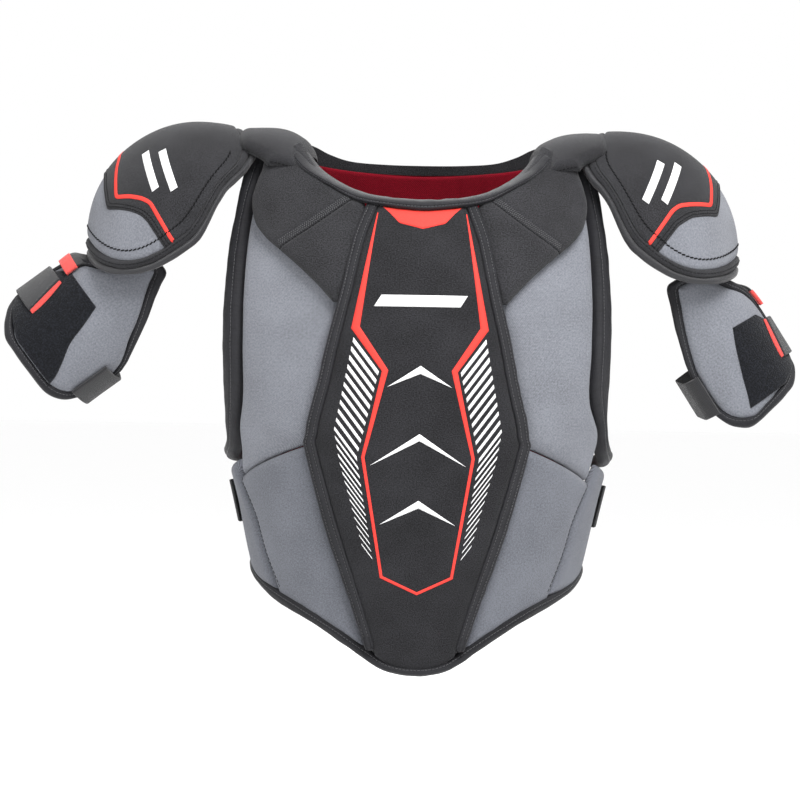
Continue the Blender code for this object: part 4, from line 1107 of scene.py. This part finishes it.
def make_back():
    bound_edge("back_edge", whole(BACK_OUTER, 300), whole(BACK_INNER, 300), TAPE, 80, HARNESS,
               "back_edge_binding", 0.01, 0.99, 0.0034)
    top, low = (curve(np.concatenate((on_torso(edge[1:], -1)[::-1], on_torso(edge, 1))), even(140))
                for edge in (COLLAR_TOP, COLLAR_BOTTOM))
    f = clustered(40)[None, :, None]
    pad("collar", top[:, None] * (1 - f) + low[:, None] * f, TORSO, COLLAR_PAD, edge=0.008,
        lip=0.15, pucker=0.0004, seed=81, grooves=[(part_way(top, low, 0.45), 0.001, 0.0016)],
        body=HARNESS, replaces="back_collar", fill=0.6)
    channels = [(back_line((abs(angle),) * 2, (-0.03, -0.4), 1 if angle >= 0 else -1), 0.0012,
                 0.003) for angle in (-44, -30, -15, 0, 15, 30, 44)]
    pad("back_lining", full_patch(BODY_EDGE, 80, 110, BODY_BOW), TORSO, LINER[::-1], edge=0.006,
        lip=0.3, sag=0.0002, grooves=channels, seed=82, body=HARNESS, material="red_lining",
        replaces="back_liner", fill=0.4)
    edge = [("back", 39, -0.005), ("back", 41, -0.022), ("back", 42, -0.042)]
    channels = [(back_line((abs(angle),) * 2, (-0.01, -0.05), math.copysign(1, angle)), 0.0012,
                 0.0016) for angle in (-32, -13, 11, 18, 34)]
    pad("collar_lining", full_patch(edge, 60, 150, (-0.0105, -0.004)), TORSO, COLLAR_LINER,
        edge=0.004, lip=0.3, sag=0.0003, grooves=channels, seed=88, body=HARNESS,
        material="red_lining")
    seams = [(back_line(*line, side), 0.0022, 0.0022) for line in BACK_SEAMS for side in (-1, 1)]
    panel = pad("back_panel", full_patch(BODY_EDGE, 130, 150, BODY_BOW), TORSO, BASE_PAD,
                edge=0.012, lip=0.15, pucker=0.0005, sag=0.0007, grooves=seams, seed=83,
                body=HARNESS, material="grey_twill", replaces="back_foam", fill=0.7)
    for k, (line, _, _) in enumerate(seams):
        stitches(f"back_panel_stitches_{k}", panel, TORSO, line, spacing=0.004, length=0.0027,
                 body=HARNESS, material="thread")
    folds = [(between(on_torso([("back", 16, z)], 1), on_torso([("back", 16, z)], -1), 60)[:, 0],
              0.0022, 0.0022) for z in (-0.11, -0.17, -0.23, -0.29)]
    spine = pad("spine_pad", full_patch(SPINE_EDGE, 150, 60, (0.0, -0.004)), TORSO,
                SPINE_PAD, edge=0.009, lip=0.1, grooves=folds, seed=84, body=HARNESS,
                material="plate_fabric", replaces="spine_pad_cover", fill=0.8)
    for k, (line, _, _) in enumerate(folds):
        stitches(f"spine_stitches_{k}", spine, TORSO, line[8:-8], spacing=0.0034, body=HARNESS)
    for name, side in SIDES:
        blade = pad(f"{name}_blade_pad", half_patch(BLADE_INNER, BLADE_OUTER, side, 110, 100),
                    TORSO, BLADE_PAD, edge=0.012, lip=0.06, pucker=0.0005,
                    sag=0.0006, seed=86 + side, body=HARNESS,
                    replaces=f"{name}_shoulder_blade_pad", fill=0.7)
        stitches(f"{name}_blade_stitches", blade, TORSO, curve(on_torso(BLADE_SEAM, side), even(60)),
                 spacing=0.0034, body=HARNESS)
        make_side_strap(name, side)


def make_side_strap(name, side):
    """Elastic strap sewn to the back that closes over the side wing."""
    turns = side * np.radians(np.linspace(*SIDE_STRAP_TURNS, 70))
    heights = SIDE_STRAP_HEIGHT + (clustered(20) - 0.5) * STRAP_WIDTH
    grid = np.stack(np.meshgrid(turns, heights, indexing="ij"), -1)
    strap = pad(f"{name}_side_elastic", grid, TORSO, SIDE_STRAP, edge=0.0012, lip=0.35, pucker=0.0,
                sag=0.0001, seed=90 + side, body=f"{name}_side_strap", material="elastic_side",
                replaces=f"{name}_side_strap")
    for k, turn in enumerate((95.5, 127)):
        row = np.stack((np.full(24, side * math.radians(turn)),
                        SIDE_STRAP_HEIGHT + (even(24) - 0.5) * (STRAP_WIDTH - 0.005)), -1)
        stitches(f"{name}_side_elastic_stitches_{k}", strap, TORSO, row, spacing=0.0028,
                 body=f"{name}_side_strap")


# ---------------------------------------------------------------- shoulder caps

CAP_OUTER_ROLL = 0.0052            # width of the outermost piping
CAP_INNER_ROLL = (0.0046, 0.0108)  # inner tape, from the rim
CAP_STITCH_INSET = 0.0175
CAP_STITCH_START = -0.066
# Front half of the lines across the cap: along the arm, degrees from the top to the front.
CAP_STRIPE_WIDTH = 0.0034
CAP_OVERLAY_SEAMS = (0.0026, 0.0056)
CAP_BAR_START = -0.02
CAP_BAR_PITCH = 0.013
CAP_BAR_WIDTH = 0.0072
CAP_TAPER = 0.15                   # the rim draws in by this share towards the inner end
CAP_TAPER_START = 0.01
CAP_TAPER_LENGTH = 0.065


def cap_limits(arm, inset):
    """Middle and half length along the arm, and the turns of the front and back rims."""
    low, high = arm["cap_reach"][0] + inset, arm["cap_reach"][1] - inset
    front, back = (math.radians(turn) - inset / CAP_DEPTH for turn in arm["cap_turns"])
    return (low + high) / 2, (high - low) / 2 * CAP_RIM_SHARE, front, back


def cap_loop(arm, inset, count=320):
    """The cap's outline, moved in by inset: a superellipse that draws in at its inner end."""
    middle, half, front, back = cap_limits(arm, inset)
    theta = np.linspace(0, 2 * np.pi, 4 * count + 1)
    power = np.where(np.cos(theta) < 0, *arm["cap_powers"])
    along = middle + half * signed_power(np.cos(theta), 2 / power)
    t = np.clip((CAP_TAPER_START - along) / CAP_TAPER_LENGTH, 0, 1)
    limit = np.where(np.sin(theta) > 0, front, back) * (1 - CAP_TAPER * t * t * (3 - 2 * t))
    loop = np.stack((along, limit * signed_power(np.sin(theta), 2 / power)), -1)
    return resample(loop, np.arange(count) / count, loop * np.array(CAP_WEAVE))


def outer_part(loop, start):
    """The part of the cap's outline beyond a place along the arm, from back to front."""
    front, back = np.split(loop, 2)
    return np.concatenate((back[back[:, 0] > start], front[front[:, 0] > start]))


def inner_rim(arm, inset, turn):
    """Place along the arm of the inner part of the cap's outline, at given turns."""
    loop = cap_loop(arm, inset, 1200)
    part = loop[loop[:, 0] < cap_limits(arm, inset)[0]]
    part = part[np.argsort(part[:, 1])]
    return np.interp(turn, part[:, 1], part[:, 0])


def disc_grid(loop, count):
    """A square grid pulled out to fill a closed loop."""
    u, v = np.meshgrid(2 * clustered(count, 0.5) - 1, 2 * clustered(count, 0.5) - 1, indexing="ij")
    wide = np.abs(u) > np.abs(v)
    safe_u, safe_v = np.where(np.abs(u) < 1e-9, 1e-9, u), np.where(np.abs(v) < 1e-9, 1e-9, v)
    reach = np.where(wide, u, v)
    theta = np.where(wide, np.pi / 4 * v / safe_u, np.pi / 2 - np.pi / 4 * u / safe_v)
    theta = np.where(reach < 0, theta + np.pi, theta) % (2 * np.pi)
    reach = np.abs(reach)
    closed = np.concatenate((loop, loop[:1]))
    at = theta / (2 * np.pi) * len(loop)
    edge = np.stack([np.interp(at, np.arange(len(closed)), column) for column in closed.T], -1)
    centre = loop.mean(0)
    return centre + (edge - centre) * reach[..., None]


def cap_line(arm, half_line, inset, count=180):
    """A line from the back rim over the top to the front rim, from its front half."""
    _, _, front, back = cap_limits(arm, inset)
    line = degrees(half_line)
    line = np.concatenate((line, [(line[-1, 0], front)]))
    mirrored = line[:0:-1] * np.array((1, -back / front))
    dense = resample(np.concatenate((mirrored, line)), even(count))
    for _ in range(4):
        dense[1:-1] = (dense[:-2] + 2 * dense[1:-1] + dense[2:]) / 4
    return dense


def make_cap(name, arm):
    surface = cap_surface(arm)
    body = f"{name}_cap"
    seed = 100 + 10 * arm["side"]
    field = cap_loop(arm, CAP_TAPE_WIDTH + 0.0006)

    def layer(piece, count, layers, cad, **look):
        return pad(f"{body}_{piece}", disc_grid(field, count), surface, layers, body=body,
                   replaces=f"{body}_{cad}", **look)

    def roll(piece, near, far, drop, face, **look):
        return tape(f"{body}_{piece}", cap_loop(arm, near), cap_loop(arm, far), surface,
                    (CAP_TAPE[0] + drop, face), closed=True, body=body, slot="satin_tape", **look)
    cover = layer("base", 110, CAP_COVER, "cover", edge=0.01, lip=0.35, pucker=0.0004, seed=seed,
                  material="grey_twill", fill=0.7)
    layer("lining", 70, CAP_LINER[::-1], "liner", edge=0.006, sag=0.0003, seed=seed + 1,
          material="black_fabric", slot="foam", fill=0.6)
    layer("moulding", 60, CAP_SHELL, "shell", edge=0.002, lip=0.5, pucker=0.0, sag=0.0,
          material="plastic")
    roll("piping", 0.0, CAP_OUTER_ROLL, 0.001, CAP_TAPE[1], power=2.2, seed=seed + 2,
         material="piping", replaces=f"{body}_binding")
    inner = roll("roll", *CAP_INNER_ROLL, 0.002, 0.001, power=2.4, seed=seed + 3,
                 material="black_fabric")
    row = outer_part(cap_loop(arm, sum(CAP_INNER_ROLL) / 2 + 0.0004), CAP_STITCH_START)
    stitches(f"{body}_roll_stitches", inner, surface, row, spacing=0.0036, length=0.0024,
             body=body, material="thread")
    overlay = make_cap_overlay(name, arm, surface, body, cover, seed)
    row = outer_part(cap_loop(arm, CAP_STITCH_INSET), CAP_STITCH_START)
    stitches(f"{body}_rim_stitches", [overlay, cover], surface, row, spacing=0.004,
             length=0.0036, thick=0.00075, tilt=16, body=body, material="thread")


def make_cap_overlay(name, arm, surface, body, cover, seed):
    """The black panel over the upper part of the cap, with its stitched edge, stripe and bars."""
    inset = CAP_INNER_ROLL[1] - 0.0006
    edge = cap_line(arm, arm["overlay"], inset)
    turn = edge[:, 1]
    f = clustered(110)[None, :, None]
    upper = np.stack((inner_rim(arm, inset, turn), turn), -1)
    grid = edge[:, None] * (1 - f) + upper[:, None] * f
    overlay = pad(f"{name}_cap_overlay", grid, surface, CAP_OVERLAY, edge=0.003, lip=0.35,
                  pucker=0.0002, sag=0.0005, seed=seed, body=body)
    for k, inward in enumerate(CAP_OVERLAY_SEAMS):
        stitches(f"{name}_cap_overlay_stitches_{k}", overlay, surface,
                 edge - np.array((inward, 0)), spacing=0.0026, length=0.0019, thick=0.0004,
                 body=body, material="thread")
    line = cap_line(arm, arm["stripe"], inset)
    first, second = ribbon_edges(line * np.array(surface.weave), CAP_STRIPE_WIDTH)
    stripe = between(first, second, 4) / np.array(surface.weave)
    applied(f"{name}_cap_stripe", [overlay, cover], surface, stripe, body=body,
            material="coral_print")
    notch = arm["stripe"][3][0]
    for k in range(2):
        place = CAP_BAR_START + 0.35 * notch + CAP_BAR_PITCH * k
        ends = degrees([(place, 66 - 6 * k), (place - 0.011, 40 - 6 * k)])
        low = between(ends[:1], ends[1:], 30)[:, 0]
        applied(f"{name}_cap_bar_{k}", overlay, surface,
                between(low, low + np.array((CAP_BAR_WIDTH, 0.0)), 6), body=body,
                material="white_print")
    return overlay


def ribbon_edges(line, width):
    """Both edges of a ribbon of even width along a smooth line."""
    way = np.gradient(line, axis=0)
    way /= np.linalg.norm(way, axis=1, keepdims=True)
    normal = np.stack((-way[:, 1], way[:, 0]), -1)
    return line + normal * width / 2, line - normal * width / 2


# ---------------------------------------------------------------- upper-arm guards


def guard_outline(arm, inset):
    """Edges of the guard's shield shape with its tongue, moved in by inset."""
    result = []
    for edge, sign in ((arm["guard_upper"], 1), (arm["guard_lower"], -1)):
        last = len(edge) - 1
        result.append([(along + inset * (1 - 2 * i / last),
                        math.radians(turn) + sign * inset / GUARD_MEAN_RADIUS)
                       for i, (along, turn) in enumerate(edge)])
    return result


def guard_loop(arm, inset):
    upper, lower = guard_outline(arm, inset)
    top, bottom = curve(upper, even(130)), curve(lower, even(130))
    first = between(top[:1], bottom[:1], 60)[:, 0]
    last = between(top[-1:], bottom[-1:], 60)[:, 0]
    return soften(np.concatenate((first, bottom[1:-1], last[::-1], top[1:-1][::-1])), 60)


def make_guard(name, arm):
    surface = guard_surface(arm)
    body = f"{name}_guard"
    seed = 130 + 10 * arm["side"]
    outer, inner = guard_loop(arm, 0.0), guard_loop(arm, GUARD_TAPE_WIDTH)
    binding = tape(f"{body}_roll", outer, inner, surface, GUARD_TAPE, closed=True, power=2.3,
                   grooves=[(GUARD_SEAM, 0.0009, 0.08)], seed=seed, body=body,
                   replaces=f"{body}_binding")
    row = outer * (1 - GUARD_SEAM) + inner * GUARD_SEAM
    stitches(f"{body}_roll_stitches", binding, surface, np.concatenate((row, row[:1])), body=body)
    field = guard_outline(arm, GUARD_TAPE_WIDTH - 0.0005)
    pad(f"{body}_face", patch(*field, 110, 90), surface, GUARD_PAD, edge=0.008, lip=0.3,
        pucker=0.0004, sag=0.0006, seed=seed + 1, body=body, material="grey_twill",
        replaces=f"{body}_pad", fill=0.7)
    pad(f"{body}_lining", patch(*field, 80, 60), surface, GUARD_LINER[::-1], edge=0.005,
        sag=0.0003, seed=seed + 2, body=body, slot="foam",
        replaces=f"{body}_liner", fill=0.6)
    pile_grid = patch(degrees(arm["pile_upper"]), degrees(arm["pile_lower"]), 90, 80)
    pad(f"{name}_pile", pile_grid, surface, PILE_PATCH, edge=0.0022, lip=0.25,
        pucker=0.0002, sag=0.0002, seed=seed + 3, body=body, material="loop_pile",
        replaces=f"{body}_loop_patch")
    make_strap(name, arm, body, seed)
    make_strap_loop(name, surface, seed)
    make_adjuster(name, arm)


def strap_middle(turn):
    """The strap's middle line: it climbs a little along the arm as it goes round the back."""
    return STRAP_MIDDLE + STRAP_CLIMB * (STRAP_CLIMB_TURN - turn)


def strap_grid(turns, half, cols=20):
    along = strap_middle(turns)[:, None] + half * (2 * clustered(cols) - 1)[None]
    return np.stack((along, np.broadcast_to(np.radians(turns)[:, None], along.shape)), -1)


def tip_skew(turn):
    """The free end is cut at a slant: extra turn at the strap's lower edge."""
    return math.radians(STRAP_TIP_SKEW) * (turn - STRAP_FOLD_TURN) / (STRAP_TIP_TURN
                                                                      - STRAP_FOLD_TURN)


def strap_surface(arm):
    """The guard's surface, drawn in under the arm, where the elastic is stretched flat."""
    base = guard_surface(arm)
    _, out = arm_frame(arm["side"], arm["guard_tilt"])
    centre = np.array((arm["guard"][0], 0, arm["guard"][1]))

    def at(along, turn, layer):
        place = base.at(along, turn, layer)
        rise = (place - centre) @ out
        depth = np.maximum(-rise - STRAP_FREE_REACH, 0.0)
        room = arm["strap_reach"] - STRAP_FREE_REACH
        drawn = depth / (1 + (depth / room) ** 6) ** (1 / 6)
        return place + (depth - drawn)[..., None] * out
    return Surface(at, base.weave)


def make_strap(name, arm, body, seed):
    """Elastic strap round the back of the arm, and its free end with the hook tab."""
    surface = strap_surface(arm)
    half = STRAP_WIDTH / 2
    band = dict(edge=0.0012, lip=0.35, pucker=0.0, material="elastic")
    start = STRAP_FOLD_TURN - STRAP_GAP_TURN
    turns = np.linspace(start, start - STRAP_WRAP, 150)
    pad(f"{name}_elastic", strap_grid(turns, half), surface, STRAP_LAYER, sag=0.0002,
        seed=seed + 4, body=body, replaces=f"{name}_arm_strap", **band)
    turns = np.linspace(STRAP_FOLD_TURN, STRAP_TIP_TURN, 70)
    grid = strap_grid(turns, half)
    grid[..., 1] += tip_skew(turns)[:, None] * (2 * clustered(20) - 1)[None]
    end_body = f"{name}_strap_end"
    tab = pad(f"{name}_strap_tip", grid, surface, STRAP_LAYER, sag=0.0001, seed=seed + 5,
              body=end_body, replaces=f"{name}_arm_strap_tab", **band)
    for k, turn in enumerate((36.0, 48.0)):
        across = 2 * even(24) - 1
        row = np.stack((strap_middle(turn) + across * (half - 0.004),
                        math.radians(turn) + tip_skew(turn) * across), -1)
        stitches(f"{name}_strap_tip_stitches_{k}", tab, surface, row, spacing=0.0026,
                 body=end_body)


def make_strap_loop(name, surface, seed):
    """Coral pull tab sewn under the strap's free end, with a curved lower edge."""
    across = 2 * clustered(30) - 1
    turns = np.stack([np.linspace(STRAP_TIP_TURN - 4, STRAP_TIP_TURN + 3.2 + 1.8 * (1 - v ** 2), 12)
                      for v in across], 1)
    along = strap_middle(turns) + (STRAP_WIDTH / 2 - 0.0006) * across[None]
    grid = np.stack((along, np.radians(turns) + tip_skew(turns) * across[None]), -1)
    pad(f"{name}_strap_loop", grid, surface, STRAP_LOOP, edge=0.001, lip=0.4, pucker=0.0,
        sag=0.0, seed=seed, body=f"{name}_strap_end", material="coral_web")


def make_adjuster(name, arm):
    """Webbing that hangs the guard from the inside of the cap, with a coral keeper."""
    surface = guard_surface(arm)
    path = curve(arm["adjuster"], even(60))
    turns = (math.radians(arm["adjuster_turn"])
             + (clustered(20) - 0.5) * ADJUSTER_WIDTH / arm["guard_radius"])
    for piece, first, wide, rise, material, cad in (
            ("web", 0, 1.0, 0.0, "elastic_side", f"{name}_adjuster_webbing"),
            ("keeper", 49, 1.08, 0.0008, "coral_web", ())):
        part = path[first:]
        turn = turns.mean() + (turns - turns.mean())[None, :] * wide
        low = surface.at(part[:, :1], turn, part[:, 1:] - rise)
        high = surface.at(part[:, :1], turn, part[:, 1:] + ADJUSTER_THICKNESS + rise)
        uv = np.stack(np.broadcast_arrays(turn * arm["guard_radius"], lengths(part)[:, None]), -1)
        slab(f"{name}_adjuster_{piece}", high, low, uv, body=f"{name}_adjuster",
             material=material, replaces=cad)


# ---------------------------------------------------------------- studio

FLOOR_HEIGHT = -0.62
FLOOR_REACH = 40.0
CAMERA_PLACE = (-0.0172, -2.6, -0.222)
CAMERA_ROLL = 1.0                  # degrees
CAMERA_LENS = 130.0
# Soft lights: place, what they face, size, watts.
LIGHTS = [((0.55, -1.25, 1.35), (0.0, 0.0, -0.15), 1.0, 74.0),
          ((-1.4, -1.0, 1.0), (0.0, 0.0, -0.15), 1.0, 12.0),
          ((0.0, 1.6, 1.4), (0.0, 0.0, -0.15), 1.6, 30.0)]


def make_studio():
    scene = bpy.context.scene
    scene.view_settings.view_transform = "Standard"
    world = bpy.data.worlds.new("studio")
    world.use_nodes = True
    backdrop = world.node_tree.nodes["Background"]
    backdrop.inputs[0].default_value = (1.0, 1.0, 1.0, 1.0)
    backdrop.inputs[1].default_value = 1.0
    scene.world = world
    floor_mesh = bpy.data.meshes.new("floor")
    spread = [(x * FLOOR_REACH, y * FLOOR_REACH, FLOOR_HEIGHT)
              for x, y in ((-1, -1), (1, -1), (1, 1), (-1, 1))]
    floor_mesh.from_pydata(spread, [], [(0, 1, 2, 3)])
    _, shader = shader_material("pale_floor", 0.9)
    shader.inputs["Base Color"].default_value = (0.98, 0.98, 0.98, 1)
    floor_mesh.materials.append(MATERIALS["pale_floor"])
    add_object("floor", floor_mesh)
    for k, (place, target, size, watts) in enumerate(LIGHTS):
        lamp = bpy.data.lights.new(f"soft_light_{k}", "AREA")
        lamp.size = size
        lamp.energy = watts
        light = add_object(f"soft_light_{k}", lamp)
        light.location = place
        light.rotation_euler = (Vector(target) - Vector(place)).to_track_quat("-Z", "Y").to_euler()
    camera_data = bpy.data.cameras.new("camera")
    camera_data.lens = CAMERA_LENS
    camera_data.sensor_width = 36.0
    camera = add_object("camera", camera_data)
    roll = math.radians(CAMERA_ROLL)
    camera.matrix_world = Matrix(((math.cos(roll), -math.sin(roll), 0, CAMERA_PLACE[0]),
                                  (0, 0, -1, CAMERA_PLACE[1]),
                                  (math.sin(roll), math.cos(roll), 0, CAMERA_PLACE[2]),
                                  (0, 0, 0, 1)))
    scene.camera = camera


def paint_plastic():
    """The CAD shells that stay shown get moulded plastic."""
    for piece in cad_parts.values():
        if not piece.hide_render:
            piece.data.materials.clear()
            piece.data.materials.append(MATERIALS["plastic"])


make_materials()
make_front_lining()
plate_piece = make_plate()
make_front_pads()
make_edge_tapes()
make_prints(plate_piece)
make_shoulder_tops()
make_back()
for arm_name, arm_data in ARMS.items():
    make_cap(arm_name, arm_data)
    make_guard(arm_name, arm_data)
paint_plastic()
make_studio()
